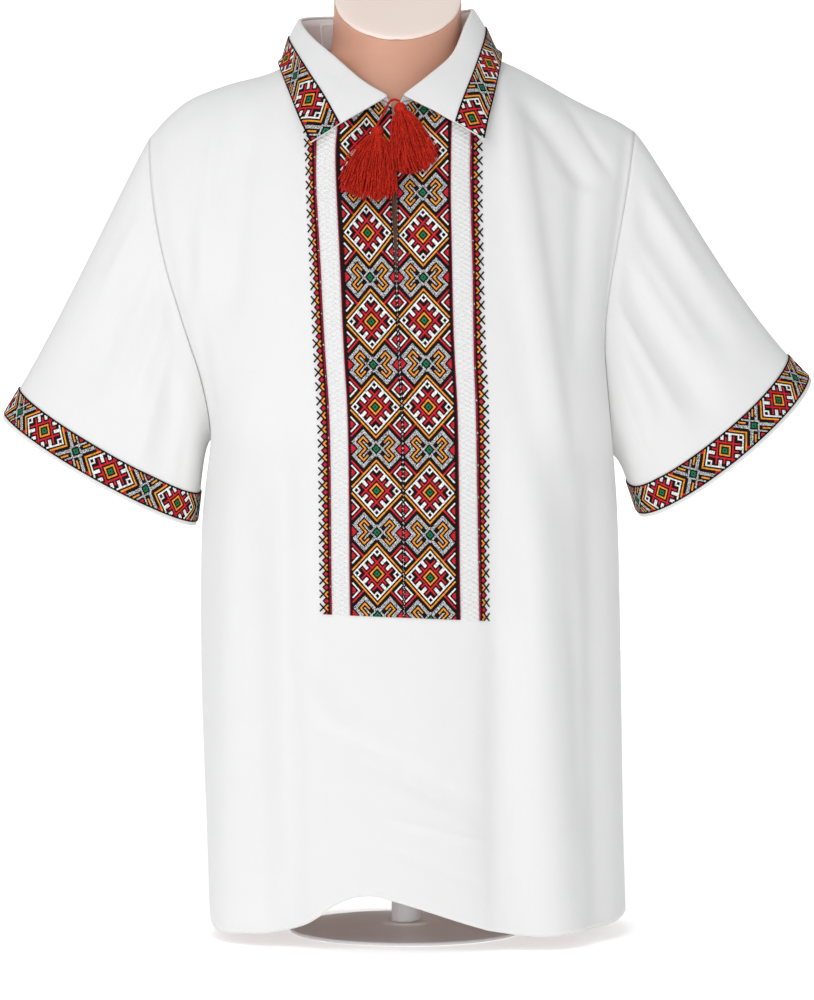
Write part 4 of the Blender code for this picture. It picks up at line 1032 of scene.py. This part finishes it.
# Folds along a sleeve: place round it in degrees from the top over the front, and part of its length.
SleeveFold = namedtuple("SleeveFold", "turn start stop width depth")
SLEEVE_FOLDS = {
    -1: table(
        SleeveFold,
        (62, 0.05, 0.75, 14, -6), (95, 0.0, 0.6, 12, 4), (125, 0.2, 1.0, 16, -6),
        (-80, 0.1, 0.8, 16, -6), (-130, 0.2, 0.9, 14, -5),
    ),
    1: table(
        SleeveFold,
        (45, 0.0, 0.7, 13, -5), (78, 0.0, 0.8, 14, -7), (112, 0.1, 0.6, 12, 5), (-70, 0.1, 0.9, 16, -6),
        (-120, 0.1, 0.8, 14, -5),
    ),
}
SLEEVE_CREASES = {
    -1: table(
        SleeveFold,
        (40, 0.0, 0.45, 7, 2.0), (78, 0.0, 0.5, 6, -2.2), (110, 0.1, 0.8, 7, 2.4),
        (142, 0.3, 1.0, 7, -2.2), (-40, 0.0, 0.5, 8, 2.0), (-105, 0.2, 0.9, 8, 2.4),
    ),
    1: table(
        SleeveFold,
        (30, 0.0, 0.5, 7, 1.8), (60, 0.05, 0.6, 6, -2.0), (94, 0.0, 0.7, 7, 2.4),
        (130, 0.2, 0.9, 8, -2.4), (-45, 0.0, 0.5, 8, -2.0), (-98, 0.2, 0.9, 8, 2.2),
    ),
}


def cuff_thread(m, n):
    """The narrow form of the broad pattern, edged in black."""
    return "black" if abs(m) >= CUFF_HALF - 1 else star_and_knot(m, n, CUFF_HOOKS, CUFF_RAY, [])


def narrow_stitches(name, lattice, first_stitch):
    """The stitches of a cuff's or the collar's band, whose columns run along it and rows across it."""
    out = outward(lattice)
    m, n = np.meshgrid(np.arange(-CUFF_HALF, CUFF_HALF + 1), np.arange(len(lattice)) + first_stitch)
    return stitched(name, lattice + out * STITCH_LIFT, out, m, n, cuff_thread)


def cuff_points(cuff, places):
    """Points of a cuff's lower edge; place is 0 under the arm, 0.25 in front and 0.5 at the outer end."""
    turn = places * 2 * math.pi
    out = (1 - np.cos(turn)) / 2
    x = cuff.inner_x + (cuff.outer_x - cuff.inner_x) * out
    dip = np.where(turn < math.pi, 1.0, DIP_BEHIND) * cuff.dip * np.sin(turn)
    z = cuff.inner_z + (cuff.outer_z - cuff.inner_z) * out - dip
    return np.stack([x, -cuff.depth * np.sin(turn), z], axis=1) * MM


def armhole(side):
    """The armhole's points, the panels' direction out of it, and each point's place round it."""
    ring, leaves = [], []
    for facing, rows in ((-1, slice(pit_row, None)), (1, slice(-2, pit_row, -1))):
        inner, outer = (column[rows] for column in side_columns(side, facing)[-3::2])
        ring += outer
        leaves += [(q - p).normalized() for p, q in zip(inner, outer)]
    half = len(ring) // 2
    places = []
    for part in (ring[:half + 1], ring[half:] + ring[:1]):
        run = np.cumsum([0.0] + [(q - p).length for p, q in zip(part, part[1:])])
        places += [0.5 * value / run[-1] + 0.5 * bool(places) for value in run[:-1]]
    return np.array(ring, float), np.array(leaves, float), np.array(places)


def sleeve(side):
    """A sleeve's grid: columns round the arm, closed, and rows from the armhole to the cuff's edge."""
    cuff = CUFFS[side]
    ring, leaves, spots = armhole(side)
    spots = np.concatenate([spots[-3:] - 1, spots, spots[:4] + 1])
    values = np.concatenate([ring, leaves], axis=1)
    values = np.concatenate([values[-3:], values, values[:4]])
    places = np.linspace(0.0, 1.0, SLEEVE_COLUMNS + 1)
    values = spline(values, spots, places)
    under = np.maximum(np.cos(places * 2 * math.pi), 0.0)[:, None]
    leave = unit(unit(values[:, 3:]) * (1 - under ** 0.5) + np.array([side, 0.0, 0.0]) * under ** 0.5)
    start, end = values[:, :3] + leave * SLEEVE_SET_OFF, cuff_points(cuff, places)
    first = start + (end - start) * LEAVE_SHARE + leave * (LEAVE_PUSH - UNDER_EASE * under) * MM
    sag = unit(np.array([-side, 0.0, -1.0])) * cuff.sag * MM
    last = end - (end - start) * FALL_SHARE + sag * (1 - np.cos(places * 2 * math.pi))[:, None] / 2
    t = np.linspace(0.0, 1.0, ARM_LINE_POINTS)[None, :, None]
    lines = start[:, None] * (1 - t) ** 3 + first[:, None] * (3 * t * (1 - t) ** 2)
    lines = lines + last[:, None] * (3 * t * t * (1 - t)) + end[:, None] * t ** 3
    lines[..., 1] *= 1 + ARM_FULLNESS * np.sin(math.pi * np.minimum(t[..., 0] * 1.1, 1.0))
    columns, shares = [], []
    for line in lines:
        run = run_of(line)
        free = run[-1] - CUFF_HEM - CUFF_BAND_WIDTH
        marks = np.concatenate([np.linspace(0.0, free, ARM_FREE_ROWS + 1),
                                np.linspace(free, run[-1] - CUFF_HEM, ARM_BAND_ROWS + 1)[1:],
                                [run[-1] - CUFF_HEM / 2, run[-1]]])
        columns.append(np.stack([np.interp(marks, run, values) for values in line.T], axis=1))
        shares.append(marks / run[-1])
    grid, shares = np.array(columns), np.array(shares)
    turns = np.broadcast_to(180 - 360 * places[:, None], shares.shape)
    move = np.zeros_like(shares)
    for fold in SLEEVE_FOLDS[side] + SLEEVE_CREASES[side]:
        gap = (turns - fold.turn + 180) % 360 - 180
        begun = ramp(shares, fold.start - FADE_BEFORE, fold.start + FADE_WITHIN)
        ended = ramp(shares, fold.stop - FADE_WITHIN, fold.stop + FADE_BEFORE)
        move += fold.depth * MM * begun * (1 - ended) * np.exp(-((gap * MM_A_DEGREE / fold.width) ** 2))
    move *= ramp(shares, *ARMHOLE_CALM) * (1 - under ** 2)
    grid = grid - outward(grid) * side * move[..., None]
    return grid[::-side]


def closed(mesh_object):
    """Welds a tube's first and last columns, which lie on one another."""
    weld = mesh_object.modifiers.new("weld", "WELD")
    weld.merge_threshold = WELD_SEAMS
    mesh_object.modifiers.move(len(mesh_object.modifiers) - 1, 0)


sleeves = {side: sleeve(side) for side in (-1, 1)}
for side, word in SIDES.items():
    grid = sleeves[side]
    tube_of_cloth = cloth("sleeve_" + word, grid, CLOTH, white_cotton)
    closed(tube_of_cloth)
    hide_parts("sleeve_" + word)

    across, up = keys_of(grid)
    first_column, last_column = place_at(across, [CUFF_BAND_INSET, across[-1] - CUFF_BAND_INSET])
    band_first, band_last = ARM_FREE_ROWS, ARM_FREE_ROWS + ARM_BAND_ROWS
    ground_rows = steps(up, band_first + CUFF_BAND_ROW_INSET, band_last - CUFF_BAND_ROW_INSET, CLOTH_PITCH)
    ground = read_at(grid, steps(across, first_column, last_column, CLOTH_PITCH), ground_rows)
    base = cloth("cuff_" + word, ground + outward(ground) * BAND_LIFT, BAND_WALL, black_cotton)
    count = int((across[-1] - 2 * CUFF_BAND_INSET) / CUFF_CELL)
    lattice = read_at(grid, even_places(across, first_column, last_column, count + 1),
                      even_places(up, band_first, band_last, 2 * CUFF_HALF + 1))
    stitches = narrow_stitches("cuff_stitches_" + word, lattice, CUFFS[side].first_stitch)
    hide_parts("cuff_band_" + word)

# ---- Collar --------------------------------------------------------------------------------------
# A low stand rises from the neckline and the white collar falls over it to two points in front. The
# stitched band runs along its outer edge, and a plain label is tacked inside the stand at the back.

COLLAR_BAND_WIDTH = 0.0325
COLLAR_BULGE = 0.004
COLLAR_CLEAR = 0.0046        # from the panels to the collar's outer face
COLLAR_NEAR = 0.03           # the panels' faces further than this don't lift it
# The lift is worked out in passes: part of the clearance asked for, and columns that even it out.
LIFTS = [(1.0, 9), (1.0, 9), (0.9, 9), (0.8, 9), (0.7, 4)]
# Outwards and up from the roll: the points that round the fold off, and where the fall begins.
ROLL_OVER = [(-0.0008, -0.0004), (0.0003, 0.0012), (0.0014, 0.0018), (0.0031, 0.0014)]
FALL_OUT = 0.0042
STAND_SET_IN, STAND_FOOT_UP = 0.0013, 0.0008
STAND_HEAD_DOWN = 0.0012     # the stand's head ends this far under the roll
STAND_LOWEST, STAND_ROWS = 0.0010, 6    # its least height
COLLAR_CELL = 0.001007
COLLAR_FIRST_STITCH = 35
COLLAR_COLUMNS, COLLAR_FALL_ROWS, COLLAR_BAND_ROWS = 190, 12, 8
COLLAR_BAND_INSET, COLLAR_BAND_ROW_INSET = 0.0006, 0.15
LABEL_MIDDLE = 0.405         # part of the way round the stand
NECK_MIDDLE_X = -0.018

# Round the neck from the left front end to the right one: the collar's roll at the top and outer edge.
Collar = namedtuple("Collar", "roll_x roll_y roll_z edge_x edge_y edge_z")
COLLAR = table(
    Collar,
    (-18, -88, 769, -87, -110, 725), (-40, -84, 783, -96, -100, 744), (-66, -66, 808, -103, -80, 763),
    (-88, -36, 831, -111, -48, 787), (-99, -2, 850, -115, -10, 805), (-94, 35, 860, -111, 40, 812),
    (-66, 66, 866, -80, 84, 814), (-18, 80, 869, -18, 101, 814), (30, 66, 869, 44, 84, 817),
    (55, 34, 867, 74, 40, 818), (60, 4, 862, 82, 0, 817), (54, -24, 845, 83, -37, 801),
    (41, -55, 812, 80, -75, 775), (18, -77, 788, 74, -98, 748), (-3, -88, 770, 70, -110, 728),
)


def tree_over(grid):
    """A search tree over a grid's outer face."""
    points = [Vector(point) for point in grid.reshape(-1, 3)]
    return BVHTree.FromPolygons(points, sheet_faces(*grid.shape[:2]))


def lifted_off(points, trees, clear):
    """Points of the collar, lifted clear of the panels and of the bands on them."""
    lifted = []
    for point in points.reshape(-1, 3):
        spot = Vector(point)
        for tree in trees:
            hit, normal, face, distance = tree.find_nearest(spot)
            height = (spot - hit).dot(normal)
            if height < clear and distance < COLLAR_NEAR:
                spot = spot + normal * (clear - height)
        lifted.append(spot)
    return np.array(lifted, float).reshape(points.shape)


def laid_over(grid, trees):
    """The falling collar laid over the shoulders, its lift evened out from column to column."""
    lift = np.zeros_like(grid)
    for part, spread in LIFTS:
        window = np.hanning(2 * spread + 3)[1:-1]
        reach = np.convolve(np.ones(len(grid)), window, "same")[:, None, None]
        lift = lifted_off(grid + lift, trees, COLLAR_CLEAR * part) - grid
        lift = np.apply_along_axis(np.convolve, 0, lift, window, "same") / reach
    return grid + lift


neck_rows = np.array(NECK_FRONT_LEFT[::-1] + NECK_BACK[1:-1] + NECK_FRONT_RIGHT[::-1], float) * MM
collar_rows = np.array(COLLAR, float) * MM
collar_places = np.linspace(0, len(COLLAR) - 1, COLLAR_COLUMNS + 1)
neck_line = spline(neck_rows, np.arange(len(neck_rows)), collar_places)
collar_lines = spline(collar_rows, np.arange(len(COLLAR)), collar_places)
rolls, edges = collar_lines[:, :3], collar_lines[:, 3:]
aways = rolls - np.array([NECK_MIDDLE_X, 0.0, 0.0])
aways[:, 2] = 0.0
aways = unit(aways)
up_one = np.array([0.0, 0.0, 1.0])

panels = [tree_over(front_grid), tree_over(back_grid)]
fall_columns, stand_columns = [], []
for base, roll, edge, away in zip(neck_line, rolls, edges, aways):
    over = roll + away * FALL_OUT
    head = 1 - COLLAR_BAND_WIDTH / np.linalg.norm(edge - over)
    shares = np.concatenate([np.linspace(0, head, COLLAR_FALL_ROWS + 1),
                             np.linspace(head, 1, COLLAR_BAND_ROWS + 1)[1:]])
    bulge = (COLLAR_BULGE * 4 * shares * (1 - shares))[:, None] * away
    falling = over + (edge - over) * shares[:, None] + bulge
    crest = [roll + away * outwards + up_one * upwards for outwards, upwards in ROLL_OVER]
    fall_columns.append(np.concatenate([crest, falling]))
    foot = base - away * STAND_SET_IN + up_one * STAND_FOOT_UP
    top = roll - up_one * STAND_HEAD_DOWN
    top[2] = max(top[2], foot[2] + STAND_LOWEST)
    stand_columns.append(top + (foot - top) * np.linspace(0, 1, STAND_ROWS)[:, None])
fall_grid = np.array(fall_columns)
fall_from = len(ROLL_OVER)
fall_grid[:, fall_from:] = laid_over(fall_grid[:, fall_from:], panels)
stand_grid = np.array(stand_columns)
collar_fall = cloth("collar_fall", fall_grid, CLOTH, white_cotton)
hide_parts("collar_fall")
collar_stand = cloth("collar_stand", stand_grid, CLOTH, white_cotton)
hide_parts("collar_stand")

label_tape = thread_material("label_tape", (0.86, 0.86, 0.86), shade=0.93)
across, up = keys_of(fall_grid)
band_head_row, edge_row = fall_grid.shape[1] - 1 - COLLAR_BAND_ROWS, fall_grid.shape[1] - 1
set_in = COLLAR_BAND_INSET / across[1]
ground = read_at(fall_grid, steps(across, set_in, COLLAR_COLUMNS - set_in, CLOTH_PITCH),
                 steps(up, band_head_row, edge_row - COLLAR_BAND_ROW_INSET, CLOTH_PITCH))
collar_band = cloth("collar_band", ground + outward(ground) * BAND_LIFT, BAND_WALL, black_cotton)
edge_length = run_of(fall_grid[:, edge_row])
count = int(edge_length[-1] / COLLAR_CELL)
spots = np.linspace(COLLAR_BAND_INSET, edge_length[-1] - COLLAR_BAND_INSET, count + 1)
columns = place_at(edge_length, spots)
lattice = read_at(fall_grid, columns, even_places(up, band_head_row, edge_row, 2 * CUFF_HALF + 1))
collar_stitches = narrow_stitches("collar_stitches", lattice, COLLAR_FIRST_STITCH)
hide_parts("collar_band")

LABEL_SIZE = (0.034, 0.020)
LABEL_WALL = 0.0005
LABEL_CORNER = 0.003
LABEL_CLEAR = 0.0004
LABEL_PITCH, LABEL_ROWS = 0.0011, 13
LABEL_RISE = 0.5            # its middle lies half way up the stand


def rounded_rectangle(width, height, corner, pitch):
    """Columns of heights within a rectangle with round corners, about its middle."""
    across = np.linspace(-width / 2, width / 2, int(width / pitch) + 1)
    inside = np.maximum(np.abs(across) - (width / 2 - corner), 0.0)
    half = height / 2 - corner + np.sqrt(np.maximum(corner ** 2 - inside ** 2, 0.0))
    return across, half


stand_inside = stand_grid - outward(stand_grid) * (CLOTH + LABEL_CLEAR)
over, along = keys_of(stand_inside)
label_middle = LABEL_MIDDLE * over[-1]
across_label, half_heights = rounded_rectangle(*LABEL_SIZE, LABEL_CORNER, LABEL_PITCH)
label_columns = []
for offset, half in zip(across_label, half_heights):
    column_places = place_at(over, [label_middle + offset])
    heights = along[-1] * LABEL_RISE + np.linspace(-1, 1, LABEL_ROWS) * half
    label_columns.append(read_at(stand_inside, column_places, place_at(along, heights))[0])
label_grid = np.array(label_columns)[::-1]
label = cloth("label", label_grid, LABEL_WALL, label_tape)
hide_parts("neck_label")

# ---- Torso form ----------------------------------------------------------------------------------
# The form is a hollow moulded torso without arms, legs or head, in a skin-coloured plastic, with a
# slanted off-white cap on its neck. A white post and foot plate carry it.

CLOUDS, FINE_GRAIN = 14.0, 1400.0
WELD_REACH = 0.00001
FLAT_WITHIN, SQUARE_WITHIN = 0.6, 1.2   # angles within which two triangles become one facet
EDGE_FROM, EDGE_HELD = 0.7, 0.85        # from this angle an edge is real, and it is held this firmly
ROUNDINGS = 2


def moulded_material(name, colour, tint, roughness):
    """Moulded plastic: a faint cloudy tint and a fine grain in the surface."""
    finish = plain_material(name, colour, roughness)
    clouds = uneven(finish, CLOUDS, detail=3.0)
    dyed(finish, clouds, low=0.30, low_colour=tint, high=0.70, high_colour=colour)
    bumped(finish, uneven(finish, FINE_GRAIN, detail=2.0), strength=0.12, depth=0.0003)
    return finish


def rounded_copy(name, node_name, finish):
    """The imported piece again, with its flat facets smoothed and its real edges kept."""
    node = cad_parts[node_name]
    shape = bmesh.new()
    shape.from_mesh(node.data)
    shape.transform(node.matrix_world)
    bmesh.ops.remove_doubles(shape, verts=shape.verts, dist=WELD_REACH)
    bmesh.ops.join_triangles(shape, faces=shape.faces, angle_face_threshold=FLAT_WITHIN,
                             angle_shape_threshold=SQUARE_WITHIN)
    crease = shape.edges.layers.float.new("crease_edge")
    for edge in shape.edges:
        if edge.is_manifold and edge.calc_face_angle() > EDGE_FROM:
            edge[crease] = EDGE_HELD
    mesh = bpy.data.meshes.new(name)
    shape.to_mesh(mesh)
    shape.free()
    mesh.materials.append(finish)
    mesh.shade_smooth()
    copy = bpy.data.objects.new(name, mesh)
    bpy.context.scene.collection.objects.link(copy)
    round_off = copy.modifiers.new("round_off", "SUBSURF")
    round_off.levels = ROUNDINGS
    round_off.render_levels = ROUNDINGS
    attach(copy, "root")
    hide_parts(node_name)
    return copy


skin = moulded_material("skin_plastic", (0.68, 0.36, 0.25), (0.64, 0.32, 0.22), roughness=0.42)
cap_plastic = moulded_material("cap_plastic", (0.97, 0.83, 0.75), (0.95, 0.79, 0.71), roughness=0.5)
stand_paint = moulded_material("stand_paint", (0.88, 0.88, 0.88), (0.85, 0.85, 0.86), roughness=0.45)
rounded_copy("torso", "torso_form", skin)
rounded_copy("cap", "neck_cap", cap_plastic)
rounded_copy("post", "stand_post", stand_paint)
rounded_copy("foot_plate", "stand_base", stand_paint)

# ---- Tassels -------------------------------------------------------------------------------------
# Two tassels of red yarn hang on the tie at the head of the slit. Each is a bundle of yarns bent
# over the cord, wound round to make its head, and left loose and uneven below.

Tassel = namedtuple("Tassel", "name head_x head_z foot_x foot_z spread lift")
TASSELS = table(
    Tassel,
    ("tassel_upper", -6, 757, 10, 699, 23, 9.0), ("tassel_lower", -27, 735, -36, 674, 28, 11.0),
)
TASSEL_HEAD = 0.0062
HEAD_FLATTENED = 0.8
HEAD_CLEAR = 0.0011
SKIRT_DEPTH = 0.0062
HEAD_TURNS, TURN_POINTS = 9, 16
WINDING_FROM, WINDING_TO = 0.25, math.pi - 0.7      # angles from the head's top that the winding covers
WINDING_SIZE, CORE_HEIGHT, CORE_WIDTH = 0.90, 0.86, 0.80        # parts of the head's size
CORE_CAP, CORE_RINGS, CORE_SIDES = 0.08, 10, 16
YARNS = 300
YARN_RADIUS = 0.00050
YARN_SEGMENTS, YARN_SIDES, WINDING_SIDES = 12, 5, 6
YARN_WANDER = 0.0013
GOLDEN_TURN = 2.39996       # angle from each yarn to the next, so that they fill the head evenly
# Where a yarn leaves the head, in parts of its size, and how it then flares: sideways and forward.
ROOT_WIDE, ROOT_DEEP, ROOT_LOW = 0.62, 0.5, -0.35
FLARE_WIDE, FLARE_DEEP = 0.56, 0.7
SPREAD_POWER, SKIRT_FILL = 0.85, 0.9
OUTER_SHORTER = 0.13        # the outermost yarns are this part shorter
SPREAD_CHANCE, LENGTH_CHANCE, RADIUS_CHANCE = (0.85, 1.05), (0.88, 1.03), (0.85, 1.15)
SECOND_BEND, SECOND_BEND_SIZE = 2.6, 0.7        # half waves down a yarn, and their part of the first

chest = [tree_over(grid) for grid in (front_grid, stand_grid)]
for side in (-1, 1):
    placket = on_the_front(side, steps(keys_of(halves[side])[0], 0, PLACKET_EDGE, CLOTH_PITCH),
                           steps(up_keys, band_row, PLACKET_TOP, CLOTH_PITCH))
    chest.append(tree_over(placket + outward(placket) * (BAND_LIFT + STITCH_HIGH)))


def on_the_chest(x, z):
    """The foremost point of the shirt's front at a place of the front view."""
    reached = [tree.ray_cast(Vector((x, -1.0, z)), Vector((0.0, 1.0, 0.0)))[0] for tree in chest]
    return np.array([x, min(hit.y for hit in reached if hit is not None), z])


def wound_head(turns):
    """A core and the yarn wound round it, about the origin, with the tassel's axis along z."""
    turn = np.linspace(0, turns * 2 * math.pi, turns * TURN_POINTS)
    height = np.cos(np.linspace(WINDING_FROM, WINDING_TO, len(turn)))
    ring = np.sqrt(1 - height ** 2)
    winding = np.stack([ring * np.cos(turn), HEAD_FLATTENED * ring * np.sin(turn), height], axis=1)
    winding = winding * TASSEL_HEAD * WINDING_SIZE
    radii = np.full(len(winding), YARN_RADIUS)
    heights = np.cos(np.linspace(CORE_CAP, math.pi - CORE_CAP, CORE_RINGS))
    core = np.stack([0 * heights, 0 * heights, heights], axis=1) * TASSEL_HEAD * CORE_HEIGHT
    core_radii = np.sqrt(1 - heights ** 2) * TASSEL_HEAD * CORE_WIDTH
    return [tube(winding, radii, WINDING_SIDES), tube(core, core_radii, CORE_SIDES)]


def tassel(row, seed):
    """One tassel: the points and faces of its wound head, and those of its loose yarns."""
    chance = np.random.default_rng(seed)
    head = on_the_chest(row.head_x * MM, row.head_z * MM)
    head[1] -= TASSEL_HEAD * HEAD_FLATTENED + HEAD_CLEAR
    foot = on_the_chest(row.foot_x * MM, row.foot_z * MM)
    foot[1] -= row.lift * MM
    length = np.linalg.norm(foot - head)
    down = (foot - head) / length
    across = unit(np.cross(down, (0.0, -1.0, 0.0)))
    forward = np.cross(across, down)
    forward = -forward if forward[1] > 0 else forward
    share = np.linspace(0.0, 1.0, YARN_SEGMENTS + 1)
    flare = np.stack([share ** FLARE_WIDE, share ** FLARE_DEEP, share], axis=1)
    first_bend, second_bend = (np.sin(turns * math.pi * share)[:, None] for turns in (1.0, SECOND_BEND))
    yarns = []
    for i in range(YARNS):
        turn, reach = i * GOLDEN_TURN, math.sqrt((i + 0.5) / YARNS)
        side, rise = reach * math.cos(turn), reach * math.sin(turn)
        start = np.array([side * ROOT_WIDE, rise * ROOT_DEEP, ROOT_LOW]) * TASSEL_HEAD
        sideways = row.spread * MM * math.copysign(abs(side) ** SPREAD_POWER, side)
        spread = sideways * chance.uniform(*SPREAD_CHANCE)
        reach_down = -length * (1 - OUTER_SHORTER * abs(side) ** 2) * chance.uniform(*LENGTH_CHANCE)
        tail = np.array([spread, rise * SKIRT_DEPTH * SKIRT_FILL, reach_down])
        line = start + (tail - start) * flare
        bend = chance.normal(0.0, YARN_WANDER, (2, 2))
        line[:, :2] += bend[0] * first_bend + bend[1] * second_bend * SECOND_BEND_SIZE
        radii = np.full(len(line), YARN_RADIUS * chance.uniform(*RADIUS_CHANCE))
        yarns.append(tube(line, radii, YARN_SIDES))
    axes = np.stack([across, forward, -down])
    parts = []
    for tubes in (wound_head(HEAD_TURNS), yarns):
        points, faces = joined(tubes)
        parts.append((head + np.array(points) @ axes + np.array(SHIRT_MIDDLE), faces))
    return parts


for seed, row in enumerate(TASSELS):
    wound, loose = tassel(row, seed)
    wound_part = piece(row.name + "_head", *wound, [red_yarn])
    hung = piece(row.name, *loose, [red_yarn])
    for part in (hung, wound_part):
        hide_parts(row.name)
